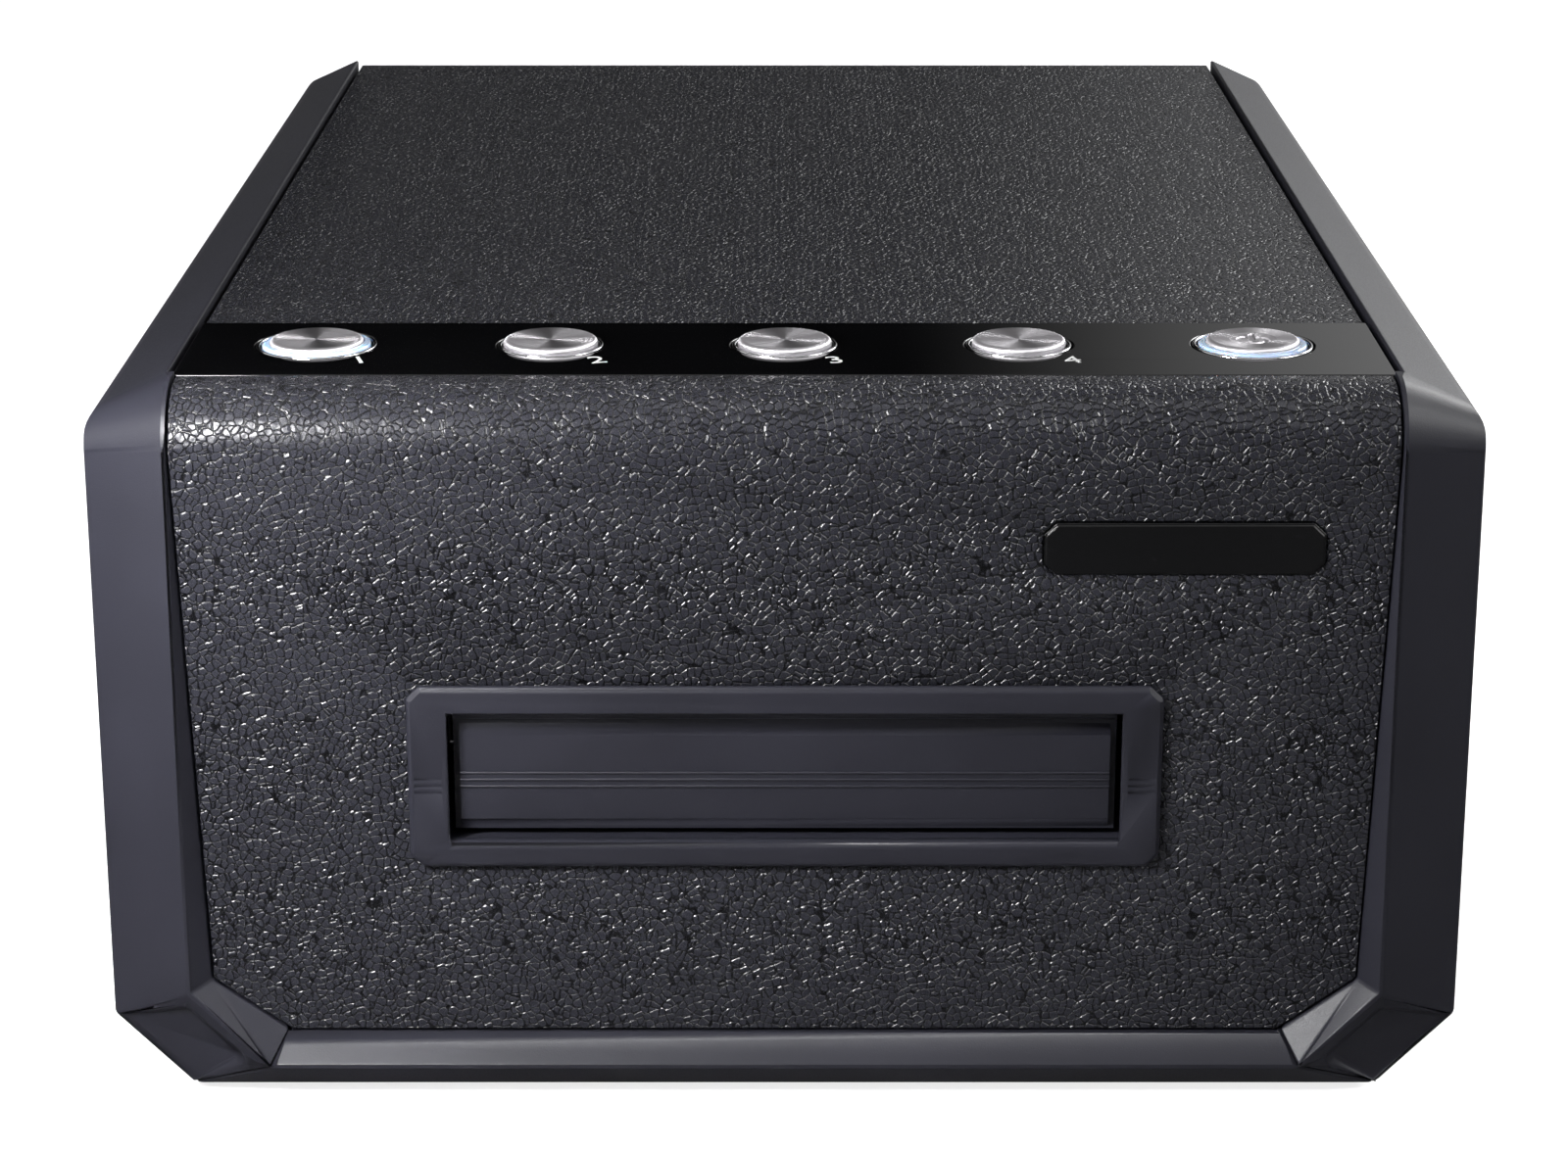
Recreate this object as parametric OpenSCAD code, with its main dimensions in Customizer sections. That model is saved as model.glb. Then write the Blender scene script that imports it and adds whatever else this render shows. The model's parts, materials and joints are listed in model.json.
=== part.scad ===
// Desktop scanner for film negatives.
// Row frame: X to the right, Y to the back, Z up, millimetres.
// The origin is under the middle of the body, on the surface that the feet stand on.

/* [Casing] */
// Width of the body
case_w = 189; // [185:1:200]
// Depth of the body, ridge to back edge
case_d = 259; // [255:1:275]
// Height of the body without its feet
case_h = 102.6; // [101:0.1:108]
// Wall of the side panels and of the floor
wall = 2.4; // [2:0.1:2.8]
// Gap where two casing pieces meet
seam = 0.25; // [0.15:0.05:0.3]
// Size of the 45 degree chamfer along the bottom
bottom_chamfer = 10.8; // [9:0.1:12]
// Width of the sloping strip along the top
strip_w = 10.7; // [9:0.1:12]
// Fall of that strip, from its inner tip to the side
strip_fall = 4.9; // [3:0.1:6]
// Radius of the long edge between strip and side
edge_round = 4; // [2:0.5:6]

/* [Front frame] */
// Depth of the bevel between the outline and the ridge
bevel_d = 5; // [4:0.1:6]
// Width of that bevel at the sides
bevel_side_w = 11.2; // [9.5:0.1:12]
// Height of that bevel along the bottom
bevel_bottom_h = 4.55; // [3.5:0.05:5.5]
// Width of the facet across each lower corner
facet_w = 11.4; // [10:0.1:12.5]
// Flat left on the ridge
ridge_land = 0.35; // [0.2:0.05:0.6]
// Radius of the ridge where it turns back at the top
ridge_round = 8.5; // [7:0.5:10]
// Radius of the outline there
outline_round = 5; // [4:0.5:6]
// Depth of the recess in each corner facet, at the end nearest to the ridge
facet_recess = 0.9; // [0.3:0.1:1]
// Rim left between that recess and the ridge
facet_rim = 1.4; // [1:0.1:2]
// Width of the sloping wall inside the rim
facet_wall = 1.45; // [1:0.05:1.8]

/* [Front panel] */
// How far the panel lies behind the ridge at its top
recess_top = 0.5; // [0.3:0.1:1]
// How far it lies behind the ridge at its bottom
recess_bottom = 4.1; // [3:0.1:5]
// Height of the lower inner bevel
inner_bevel_h = 4.15; // [3:0.05:5]
// Width of the inner bevel where the sides end
inner_bevel_w = 3.2; // [2.5:0.1:4]
// Thickness of the panel
panel_t = 2.4; // [2:0.1:2.6]
// Radius of its rolled top edge
panel_round = 8; // [6:0.5:9]

/* [Slot] */
// Width of the bezel
bezel_w = 103.7; // [102:0.1:106]
// Height of the bezel
bezel_h = 26.85; // [26.4:0.05:29]
// Height of the bezel's centre above the floor of the body
bezel_z = 47.35; // [46.6:0.05:48]
// How far the bezel stands out
bezel_proud = 1.2; // [0.8:0.1:1.6]
// Chamfer of its corners
bezel_chamfer = 1.95; // [1.5:0.05:2.2]
// Width of the slot
slot_w = 92.6; // [92:0.1:93.4]
// Height of the slot
slot_h = 19.1; // [18.8:0.1:19.4]
// Wall of the sleeve behind the bezel
sleeve_wall = 1.6; // [1.2:0.1:1.7]

/* [Door] */
// Gap at the door's ends
door_side_gap = 0.6; // [0.5:0.1:1.2]
// Gap under the door
door_bottom_gap = 0.75; // [0.5:0.05:1]
// Thickness of the door's plate
door_t = 1.4; // [1.2:0.1:1.6]
// How far the pad stands out of the plate
pad_proud = 1; // [0.6:0.1:1.1]
// How far the pad lies behind the bezel's face
door_recess = 2.5; // [2.3:0.1:3]
// Radius of the hinge pin
hinge_pin_r = 0.6; // [0.5:0.05:0.65]
// Radius of the knuckle round the pin
knuckle_r = 1.25; // [1.15:0.05:1.3]
// Running clearance on the pin
pin_clearance = 0.06; // [0.04:0.01:0.1]
// Wire of the door spring
door_spring_wire = 0.4; // [0.3:0.05:0.45]

/* [Plaque] */
// Width of the plaque
plaque_w = 38; // [30:0.5:42]
// Height of the plaque
plaque_h = 7.3; // [6:0.1:9]
// Distance of its centre from the middle
plaque_x = 53.95; // [50:0.05:56]
// Height of its centre above the floor of the body
plaque_z = 80.5; // [75:0.5:84]
// Chamfer of its corners
plaque_chamfer = 1.65; // [1:0.05:2]

/* [Buttons] */
// Distance of the outer buttons from the sides of the body
button_margin = 29.1; // [27:0.1:33]
// Radius of a metal cap
cap_r = 6.55; // [6:0.05:6.7]
// Height of a cap over the button plate
cap_proud = 1; // [0.8:0.1:1.4]
// Bevel round a cap
cap_bevel = 0.65; // [0.4:0.05:0.8]
// Gap between a cap and its trim ring
cap_gap = 0.3; // [0.25:0.05:0.4]
// Wall of a trim ring
trim_wall = 0.5; // [0.5:0.05:0.7]
// Width of a light ring outside its cap
light_ring_w = 1.05; // [0.8:0.05:1.1]
// Travel of a button
button_travel = 0.6; // [0.4:0.1:0.7]
// Radius of a plunger's guide flange
plunger_r = 9.35; // [9.3:0.05:9.6]
// Running clearance of that flange
plunger_clearance = 0.1; // [0.05:0.01:0.1]

/* [Top] */
// Depth of the button plate, front to back
plate_d = 30; // [28:0.5:33]
// Distance of its front edge from the ridge
plate_setback = 11; // [10.5:0.1:12]
// How far the plate lies under the tips of the strips
plate_drop = 0.5; // [0.3:0.1:0.8]
// How far the top cover lies under the tips of the strips
cover_drop = 1; // [0.8:0.1:1.4]
// Thickness of the top cover
cover_t = 2.2; // [1.8:0.1:2.6]

/* [Back] */
// How far the rear panel lies in front of the back edge
rear_inset = 1.4; // [1.4:0.1:2]
// Thickness of the rear panel
rear_t = 2.4; // [2:0.1:3]

/* [Feet and screws] */
// Height of the feet
foot_h = 1; // [0.8:0.1:1.6]
// Radius of a foot
foot_r = 7; // [5:0.5:8]
// Depth of the pocket that holds a foot
foot_pocket = 0.6; // [0.4:0.1:0.8]
// Radius of a screw's shank
screw_r = 1.25; // [1:0.05:1.4]
// Radius of a screw's head
screw_head_r = 2.6; // [2.2:0.1:2.8]
// Clearance of a screw in its hole
screw_clearance = 0.2; // [0.15:0.05:0.3]

/* [Film channel] */
// Width between the chassis walls
channel_w = 90; // [88:0.5:91]
// Height of the deck that the holder runs on, above the floor of the body
deck_z = 39; // [38.8:0.1:39.2]
// Thickness of the deck
deck_t = 2.5; // [2:0.1:3]
// Thickness of the chassis walls
chassis_t = 2.6; // [2:0.1:3]
// Free height over the deck
channel_h = 14.6; // [14:0.1:16]

/* [Feed gears] */
// Module of the reduction gears
gear_module = 0.8; // [0.75:0.05:0.8]
// Teeth of the gear on the feed shaft
feed_teeth = 40; // [36:1:42]
// Teeth of the reduction gear's small wheel
small_teeth = 12; // [12:1:14]
// Teeth of the reduction gear's large wheel
large_teeth = 36; // [32:1:38]
// Teeth of the motor pinion
motor_teeth = 12; // [12:1:13]
// Teeth of a feed pinion
pinion_teeth = 14; // [13:1:15]
// Module of a feed pinion
pinion_module = 1; // [0.9:0.05:1]
// Radius of the feed shaft
shaft_r = 2; // [1.5:0.1:2.2]
// Running clearance of the shafts
shaft_clearance = 0.05; // [0.03:0.01:0.08]
// Width of the wheels
gear_w = 3.6; // [3:0.1:4]
// Radius of the stepper motor
motor_r = 15; // [13:0.5:15]

/* [Hidden] */
$fn = 48;

eps = 0.01;
far = 400;

// Colours
grey_plastic = [0.15, 0.15, 0.17];
grain_black = [0.12, 0.12, 0.13];
gloss_black = [0.02, 0.02, 0.02];
metal = [0.72, 0.71, 0.73];
pale_blue = [0.62, 0.72, 0.86];
board_green = [0.05, 0.28, 0.14];
inner_grey = [0.3, 0.3, 0.32];
nylon_white = [0.85, 0.84, 0.8];

// Main planes of the body
hw = case_w / 2;
y_front = -case_d / 2;
y_back = case_d / 2;
z_floor = foot_h;
z_tip = z_floor + case_h;
z_floor_top = z_floor + wall;
x_tip = hw - strip_w;
x_floor = hw - bottom_chamfer;
y_outline = y_front + bevel_d;
y_plate = y_front + plate_setback;
z_plate = z_tip - plate_drop;
z_cover = z_tip - cover_drop;
z_ledge = z_cover - cover_t;
ledge_t = 2.2;
ledge_w = 4.3;
flange_t = 2.2;
flange_w = 7.7;

// ---------- Outlines: lists of points in the order that runs left round them ----------
function unit(v) = v / norm(v);
function edge_normal(a, b) = let (u = unit(b - a)) [u.y, -u.x];
// Every edge moved out by d, and the corners put back where the moved edges meet
function grow(p, d) = let (n = len(p)) [
    for (i = [0:n - 1])
        let (a = edge_normal(p[(i + n - 1) % n], p[i]), b = edge_normal(p[i], p[(i + 1) % n]))
            p[i] + d * (a + b) / (1 + a * b)
];
function turn(a) = a > 180 ? a - 360 : a < -180 ? a + 360 : a;
// Arc of radius r that rounds corner b between its neighbours a and c
function corner_arc(a, b, c, r, steps) =
    let (
        u = unit(a - b),
        v = unit(c - b),
        half = acos(u * v) / 2,
        centre = b + unit(u + v) * r / sin(half),
        p = b + u * r / tan(half) - centre,
        q = b + v * r / tan(half) - centre,
        start = atan2(p.y, p.x),
        sweep = turn(atan2(q.y, q.x) - start)
    )
    [for (k = [0:steps]) centre + r * [cos(start + sweep * k / steps), sin(start + sweep * k / steps)]];
// Outline p with radius r[i] at corner i, where 0 leaves it sharp
function rounded(p, r, steps = 6) = let (n = len(p)) [
    for (i = [0:n - 1])
        each r[i] > 0
            ? corner_arc(p[(i + n - 1) % n], p[i], p[(i + 1) % n], r[i], steps)
            : [p[i]]
];
// Right-hand points with their mirror images, closed across the middle
function mirrored(half) =
    concat([for (p = half) p], [for (i = [len(half) - 1:-1:0]) [-half[i].x, half[i].y]]);
function box_outline(w, h) = [[-w / 2, -h / 2], [w / 2, -h / 2], [w / 2, h / 2], [-w / 2, h / 2]];
// Rectangle with its four corners cut at 45 degrees
function cut_box(w, h, c) = [
    [-w / 2 + c, -h / 2], [w / 2 - c, -h / 2], [w / 2, -h / 2 + c], [w / 2, h / 2 - c],
    [w / 2 - c, h / 2], [-w / 2 + c, h / 2], [-w / 2, h / 2 - c], [-w / 2, -h / 2 + c]
];

// ---------- Helpers that place an outline ----------
// Outline in X and Z, extruded along Y from y0 to y1
module along_y(y0, y1) {
    translate([0, y1, 0]) rotate([90, 0, 0]) linear_extrude(y1 - y0) children();
}
// Outline in Y and Z, extruded along X from x0 to x1
module along_x(x0, x1) {
    translate([x0, 0, 0]) rotate([90, 0, 90]) linear_extrude(x1 - x0) children();
}
module block(low, high) {
    translate(low) cube(high - low);
}
// Cylinder along X through y, z
module rod_x(x0, x1, y, z, r) {
    translate([x0, y, z]) rotate([0, 90, 0]) cylinder(h = x1 - x0, r = r);
}
// Cylinder along Y through x, z
module rod_y(y0, y1, x, z, r) {
    translate([x, y1, z]) rotate([90, 0, 0]) cylinder(h = y1 - y0, r = r);
}
module rod_z(z0, z1, x, y, r) {
    translate([x, y, z0]) cylinder(h = z1 - z0, r = r);
}
module left_and_right() {
    children();
    mirror([1, 0, 0]) children();
}
// Everything on the far side of the plane through a, b and c, moved on by gap
module beyond_plane(a, b, c, gap) {
    n = unit(cross(b - a, c - a));
    translate(a + n * gap) rotate([0, acos(n.z), atan2(n.y, n.x)])
        translate([-far / 2, -far / 2, 0]) cube(far);
}

// ---------- The form of the body ----------
casing_corners = mirrored([[x_floor, z_floor], [hw, z_floor + bottom_chamfer],
    [hw, z_tip - strip_fall], [x_tip, z_tip]]);
casing_outline = rounded(casing_corners, [0, 0, edge_round, 0, 0, edge_round, 0, 0]);
cavity_outline = grow(casing_corners, -wall);

x_ridge = hw - bevel_side_w;
z_ridge = z_floor + bevel_bottom_h;
facet_line = hw - z_floor - bottom_chamfer - facet_w * sqrt(2);
ridge_low = [facet_line + z_ridge, z_ridge];
ridge_side = [x_ridge, x_ridge - facet_line];
ridge_top_z = z_tip - ridge_round;
outline_top_z = z_tip - strip_fall - outline_round;

// Solid form: the outline carried along Y, its front drawn in to the ridge, and the top of the
// front turned back in an arc that is larger at the ridge than at the outline
module casing_form() {
    intersection() {
        along_y(y_front - 1, y_back) polygon(casing_outline);
        hull() {
            along_y(y_outline + outline_round, y_back) polygon(casing_corners);
            along_y(y_outline, y_outline + eps)
                polygon(mirrored([[x_floor, z_floor], [hw, z_floor + bottom_chamfer], [hw, outline_top_z]]));
            along_y(y_front, y_front + eps)
                polygon(mirrored([ridge_low, ridge_side, [x_ridge, ridge_top_z]]));
            rod_x(-x_ridge, x_ridge, y_front + ridge_round, ridge_top_z, ridge_round);
            rod_x(-hw, hw, y_outline + outline_round, outline_top_z, outline_round);
        }
    }
}

// The front panel's own plane: x across, y up the panel, z out of it
z_face = z_ridge + inner_bevel_h;
y_face = y_front + recess_bottom;
z_roll = z_plate - panel_round;
panel_tilt = atan2(recess_bottom - recess_top, z_roll - z_face);
panel_up = (z_roll - z_face) / cos(panel_tilt);
module on_face(up = 0) {
    translate([0, y_face, z_face]) rotate([90 + panel_tilt, 0, 0]) translate([0, up, 0]) children();
}
// Height on the panel of a point z above the ground, and its depth there
function face_up(z) = (z - z_face) / cos(panel_tilt);
function face_y(z) = y_face - (z - z_face) * tan(panel_tilt);

x_panel_top = x_ridge - ridge_land - 0.45;
panel_low = [ridge_low.x - 2.8, 0];
panel_side = [x_ridge - inner_bevel_w, ridge_side.y + 0.85 - z_face];
panel_corners = mirrored([panel_low, panel_side, [x_panel_top, panel_up], [x_panel_top, panel_up + 20]]);

// The hollow in front of the panel and the pocket that the panel lies in
module front_recess() {
    hull() {
        along_y(y_front - 2, y_front)
            polygon(grow(mirrored([ridge_low, ridge_side, [x_ridge, z_tip + 20]]), -ridge_land));
        on_face() linear_extrude(eps) polygon(grow(panel_corners, seam));
    }
    on_face() translate([0, 0, -20]) linear_extrude(20) polygon(grow(panel_corners, seam));
}

// Front frame, as one ring: the parts of it belong to the side panels and to the base tray
module front_frame() {
    difference() {
        intersection() {
            casing_form();
            along_y(y_front - 1, y_plate) square(far, center = true);
        }
        front_recess();
    }
}
// The crease at a lower corner, where the base tray's share of the frame ends
crease_a = [x_floor, y_outline, z_floor];
crease_b = [ridge_low.x, y_front, ridge_low.y];
crease_c = [panel_low.x, y_face, z_face];
module base_share(gap) {
    intersection() {
        block([-x_floor - gap, y_front - 2, -far], [x_floor + gap, y_plate + seam, far]);
        beyond_plane(crease_a, crease_b, crease_c, -gap);
        mirror([1, 0, 0]) beyond_plane(crease_a, crease_b, crease_c, -gap);
    }
}

// ---------- Side panels ----------
case_screw_x = x_floor - 4.3;
case_screw_y = [y_front + 24, 0, y_back - 18];
case_boss_r = 3.4;
case_boss_h = 6;
rear_boss_x = hw - wall - 2.8;
rear_boss_z = [z_floor + 26, z_floor + 80];
y_rear = y_back - rear_inset - rear_t;
rear_boss_l = 14;

module side_section() {
    difference() {
        polygon(casing_outline);
        polygon(cavity_outline);
        translate([-far + x_tip, z_tip - far / 2]) square([far, far]);
        translate([-far + x_floor, z_floor - far + wall * 2]) square([far, far]);
    }
    translate([x_tip, z_ledge - ledge_t]) square([wall, z_tip - z_ledge - 0.8]);
    translate([x_tip - ledge_w, z_ledge - ledge_t]) square([ledge_w + wall, ledge_t]);
    polygon([[x_floor - flange_w, z_floor_top], [x_floor, z_floor_top],
        [x_floor + flange_t, z_floor_top + flange_t], [x_floor - flange_w, z_floor_top + flange_t]]);
    polygon([[x_floor, z_floor], [x_floor + wall, z_floor + wall], [x_floor + wall, z_floor_top + flange_t],
        [x_floor, z_floor_top + flange_t]]);
}
module facet_pocket() {
    // Wedge sunk into the corner facet: nothing deep at the outline and deepest near the ridge
    slope = atan2(bevel_d, facet_w);
    run = norm([facet_w, bevel_d]);
    half = bottom_chamfer * sqrt(2) / 2;
    mid = [x_floor + bottom_chamfer / 2, y_outline, z_floor + bottom_chamfer / 2];
    // Ends of the ridge, measured along the chamfer from its middle
    low_end = (ridge_low.x + ridge_low.y - mid.x - mid.z) / sqrt(2);
    side_end = (ridge_side.x + ridge_side.y - mid.x - mid.z) / sqrt(2);
    top = run - facet_rim;
    floor_top = top - facet_wall;
    // Point at height v of the facet, a distance inside its lower or its upper end
    function low(v, inset) = [-half + (low_end + half) * v / run + inset, v];
    function high(v, inset) = [half + (side_end - half) * v / run - inset, v];
    // Local x runs along the chamfer, local y up the facet towards the ridge, local z out of it
    translate(mid) rotate([0, -45, 0]) rotate([90 + slope, 0, 0]) hull() {
        translate([0, 0, 0.4]) linear_extrude(3)
            polygon(rounded([low(0.2, 0.1), high(0.2, 0.1), high(top + 0.45, 1.45), low(top + 0.45, 1.45)],
                [0, 0, 1.9, 1.9], 4));
        rotate([-atan2(facet_recess, floor_top), 0, 0]) linear_extrude(0.3)
            polygon(rounded([low(1.2, 0.9), high(1.2, 0.9), high(floor_top, 3), low(floor_top, 3)],
                [0, 0, 1, 1], 4));
    }
}
module side_panel() {
    difference() {
        union() {
            difference() {
                intersection() {
                    front_frame();
                    block([0, y_front - 1, -far], [far, y_plate, far]);
                }
                base_share(seam);
            }
            along_y(y_plate, y_back) side_section();
            // Ledge behind the front panel
            on_face(panel_side.y + 4) translate([panel_side.x - 2, 0, -panel_t - 2.5])
                cube([5, panel_up * 0.72, 2.5]);
            for (y = case_screw_y)
                rod_z(z_floor_top, z_floor_top + case_boss_h, case_screw_x, y, case_boss_r);
            for (z = rear_boss_z)
                rod_y(y_rear - rear_boss_l, y_rear, rear_boss_x, z, case_boss_r);
        }
        facet_pocket();
        for (y = case_screw_y)
            rod_z(z_floor_top - 1, z_floor_top + case_boss_h + 1, case_screw_x, y, screw_r + 0.02);
        for (z = rear_boss_z)
            rod_y(y_rear - rear_boss_l + 2, y_rear + 1, rear_boss_x, z, screw_r + 0.02);
    }
}
module side_panel_right() { color(grey_plastic) side_panel(); }
module side_panel_left() { color(grey_plastic) mirror([1, 0, 0]) side_panel(); }

// ---------- Base tray ----------
foot_x = hw - bottom_chamfer - 15;
foot_y = [y_front + 30, y_back - 24];
chassis_x = channel_w / 2;
chassis_tab_w = 9;
chassis_tab_t = 2.4;
chassis_tab_l = 10;
chassis_tab_y = [-88, 22, 104];
chassis_tab_x = chassis_x + chassis_t + chassis_tab_w - 4;
board_x0 = 50.5;
board_x1 = x_floor - flange_w - 0.6;
board_y0 = -60;
board_z = z_floor_top + 5;
board_t = 1.6;
board_post_r = 2.6;
board_posts = [[board_x0 + 10, board_y0 + 14], [board_x1 - 4, board_y0 + 14],
    [board_x0 + 10, 60], [board_x1 - 4, 60]];
module base_tray() {
    color(grey_plastic) difference() {
        union() {
            intersection() {
                front_frame();
                base_share(0);
            }
            block([-x_floor + seam, y_plate, z_floor], [x_floor - seam, y_back, z_floor_top]);
            // Ledge behind the front panel
            on_face(-2) translate([-panel_low.x + 4, 0, -panel_t - 2.5])
                cube([2 * panel_low.x - 8, 5, 2.5]);
            for (p = board_posts)
                rod_z(z_floor_top - eps, board_z, p.x, p.y, board_post_r);
        }
        for (p = board_posts)
            rod_z(z_floor_top + 0.5, board_z + 1, p.x, p.y, screw_r + 0.02);
        for (s = [-1, 1]) {
            for (y = case_screw_y) {
                rod_z(z_floor - 1, z_floor_top + 1, s * case_screw_x, y, screw_r + screw_clearance);
                rod_z(z_floor - 1, z_floor + 1.4, s * case_screw_x, y, screw_head_r + screw_clearance);
            }
            for (y = foot_y)
                rod_z(z_floor - 1, z_floor + foot_pocket, s * foot_x, y, foot_r + 0.1);
            for (y = chassis_tab_y)
                rod_z(z_floor + 0.6, z_floor_top + 1, s * chassis_tab_x, y, screw_r + 0.02);
        }
        // Vent slots under the lamp
        for (k = [-3:3])
            translate([k * 7, -70, z_floor - 1]) linear_extrude(wall + 2)
                polygon(rounded(box_outline(2.4, 26), [1.1, 1.1, 1.1, 1.1], 4));
    }
}
module rubber_feet() {
    color(gloss_black) for (s = [-1, 1], y = foot_y) {
        rod_z(0.4, z_floor + foot_pocket, s * foot_x, y, foot_r);
        rod_z(0, 0.4, s * foot_x, y, foot_r - 0.4);
    }
}
// Pan-head screw with its head at the origin, pointing along +Z
module screw(length, head_h = 1.3) {
    difference() {
        cylinder(h = head_h, r = screw_head_r);
        for (a = [0, 90])
            rotate(a) translate([-1.6, -0.35, -0.1]) cube([3.2, 0.7, 0.7]);
    }
    translate([0, 0, head_h - eps]) cylinder(h = length, r = screw_r);
}
module case_screws() {
    color(metal) for (s = [-1, 1], y = case_screw_y)
        translate([s * case_screw_x, y, z_floor + 0.1]) screw(6);
}
module rear_screws() {
    color(metal) for (s = [-1, 1], z = rear_boss_z)
        translate([s * rear_boss_x, y_rear + rear_t + 1.3, z]) rotate([90, 0, 0]) screw(9);
}

// ---------- Front panel ----------
slot_up = face_up(z_floor + bezel_z);
sleeve_out_w = slot_w + 2 * 2.1 + 2 * sleeve_wall;
sleeve_top = slot_h / 2 + 1.2 + sleeve_wall;
sleeve_bottom = slot_h / 2 + 0.3 + sleeve_wall;
module panel_profile() {
    // Side view of the panel as y and z: flat face, rolled top, short flat behind it
    roll_centre = [face_y(z_roll) + panel_round, z_roll];
    polygon(concat(
        [[y_face, z_face]],
        [for (a = [180:-10:90]) roll_centre + panel_round * [cos(a), sin(a)]],
        [[y_plate - seam, z_plate], [y_plate - seam, z_plate - panel_t]],
        [for (a = [90:10:180]) roll_centre + (panel_round - panel_t) * [cos(a), sin(a)]],
        [[y_face + panel_t, z_face]]
    ));
}
module front_panel() {
    color(grain_black) difference() {
        intersection() {
            along_x(-hw, hw) panel_profile();
            on_face() translate([0, 0, -20]) linear_extrude(22) polygon(panel_corners);
        }
        on_face(slot_up) translate([-sleeve_out_w / 2 - 0.15, -sleeve_bottom - 0.15, -10])
            cube([sleeve_out_w + 0.3, sleeve_bottom + sleeve_top + 0.3, 20]);
        on_face(face_up(z_floor + plaque_z)) translate([plaque_x, 0, -0.9]) linear_extrude(5)
            polygon(grow(cut_box(plaque_w, plaque_h, plaque_chamfer), 0.1));
    }
}
module name_plaque() {
    color(gloss_black) on_face(face_up(z_floor + plaque_z)) translate([plaque_x, 0, -0.9]) {
        linear_extrude(1.2) polygon(cut_box(plaque_w, plaque_h, plaque_chamfer));
        linear_extrude(1.4) polygon(cut_box(plaque_w - 0.6, plaque_h - 0.6, plaque_chamfer - 0.15));
    }
}

// ---------- Slot bezel and door, in the panel's own plane ----------
line_z = [-0.1, -1.1, -2.1];
lip_back = 0.6;
sleeve_l = 20;
hinge_out = bezel_proud - door_recess - pad_proud - door_t / 2;
hinge_up = slot_h / 2 - 1.05;
hinge_half = slot_w / 2 + 2.1;
module bezel_plate_shape(inset = 0) {
    polygon(grow(cut_box(bezel_w, bezel_h, bezel_chamfer), -inset));
}
module slot_bezel() {
    color(grey_plastic) on_face(slot_up) difference() {
        union() {
            hull() {
                linear_extrude(bezel_proud - 0.6) bezel_plate_shape();
                linear_extrude(bezel_proud) bezel_plate_shape(0.6);
            }
            // Sleeve that guides the holder in behind the door
            translate([-sleeve_out_w / 2, -sleeve_bottom, -sleeve_l])
                cube([sleeve_out_w, sleeve_bottom + sleeve_top, sleeve_l + eps]);
        }
        // Mouth, with the lower edge eased
        translate([-slot_w / 2, -slot_h / 2, -lip_back - eps]) cube([slot_w, slot_h, 10]);
        translate([0, -slot_h / 2, bezel_proud]) rotate([45, 0, 0])
            cube([slot_w - 0.6, 1.1, 1.1], center = true);
        // Inside of the sleeve
        translate([-slot_w / 2 - 2.1, -slot_h / 2 - 0.3, -sleeve_l - 1])
            cube([slot_w + 4.2, slot_h + 1.5, sleeve_l + 1 - lip_back]);
        // Three fine lines on each cheek
        for (s = [-1, 1], u = line_z)
            translate([s * (bezel_w + slot_w) / 4, u, bezel_proud])
                rotate([45, 0, 0]) cube([(bezel_w - slot_w) / 2 - 1.8, 0.35, 0.35], center = true);
        translate([-sleeve_out_w, hinge_up, hinge_out]) rotate([0, 90, 0])
            cylinder(h = 2 * sleeve_out_w, r = hinge_pin_r + 0.02);
    }
}
door_half = slot_w / 2 - door_side_gap;
pad_half = door_half - 0.9;
pad_top = slot_h / 2 - 2.6;
pad_bottom = -slot_h / 2 + door_bottom_gap + 0.35;
pad_bevel = 1.5;
door_back = hinge_out - door_t / 2;
module slot_door() {
    color(grey_plastic) on_face(slot_up) difference() {
        union() {
            translate([-door_half, -slot_h / 2 + door_bottom_gap, door_back])
                cube([2 * door_half, hinge_up + slot_h / 2 - door_bottom_gap, door_t]);
            // Pad: bevelled above and below, square at its ends
            rotate([90, 0, 90]) translate([0, 0, -pad_half]) linear_extrude(2 * pad_half)
                polygon([[pad_bottom, door_back + door_t - eps], [pad_top, door_back + door_t - eps],
                    [pad_top - pad_bevel, door_back + door_t + pad_proud],
                    [pad_bottom + pad_bevel, door_back + door_t + pad_proud]]);
            // Three ribs along the pad
            for (u = line_z)
                translate([-pad_half, u, door_back + door_t + pad_proud]) rotate([0, 90, 0])
                    cylinder(h = 2 * pad_half, r = 0.2, $fn = 16);
            translate([-door_half, hinge_up, hinge_out]) rotate([0, 90, 0])
                cylinder(h = 2 * door_half, r = knuckle_r);
        }
        translate([-door_half - 1, hinge_up, hinge_out]) rotate([0, 90, 0])
            cylinder(h = 2 * door_half + 2, r = hinge_pin_r + pin_clearance);
    }
}
module door_hinge_pin() {
    pin_l = sleeve_out_w - 0.2;
    color(metal) on_face(slot_up) translate([-pin_l / 2, hinge_up, hinge_out]) rotate([0, 90, 0])
        cylinder(h = pin_l, r = hinge_pin_r);
}
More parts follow.
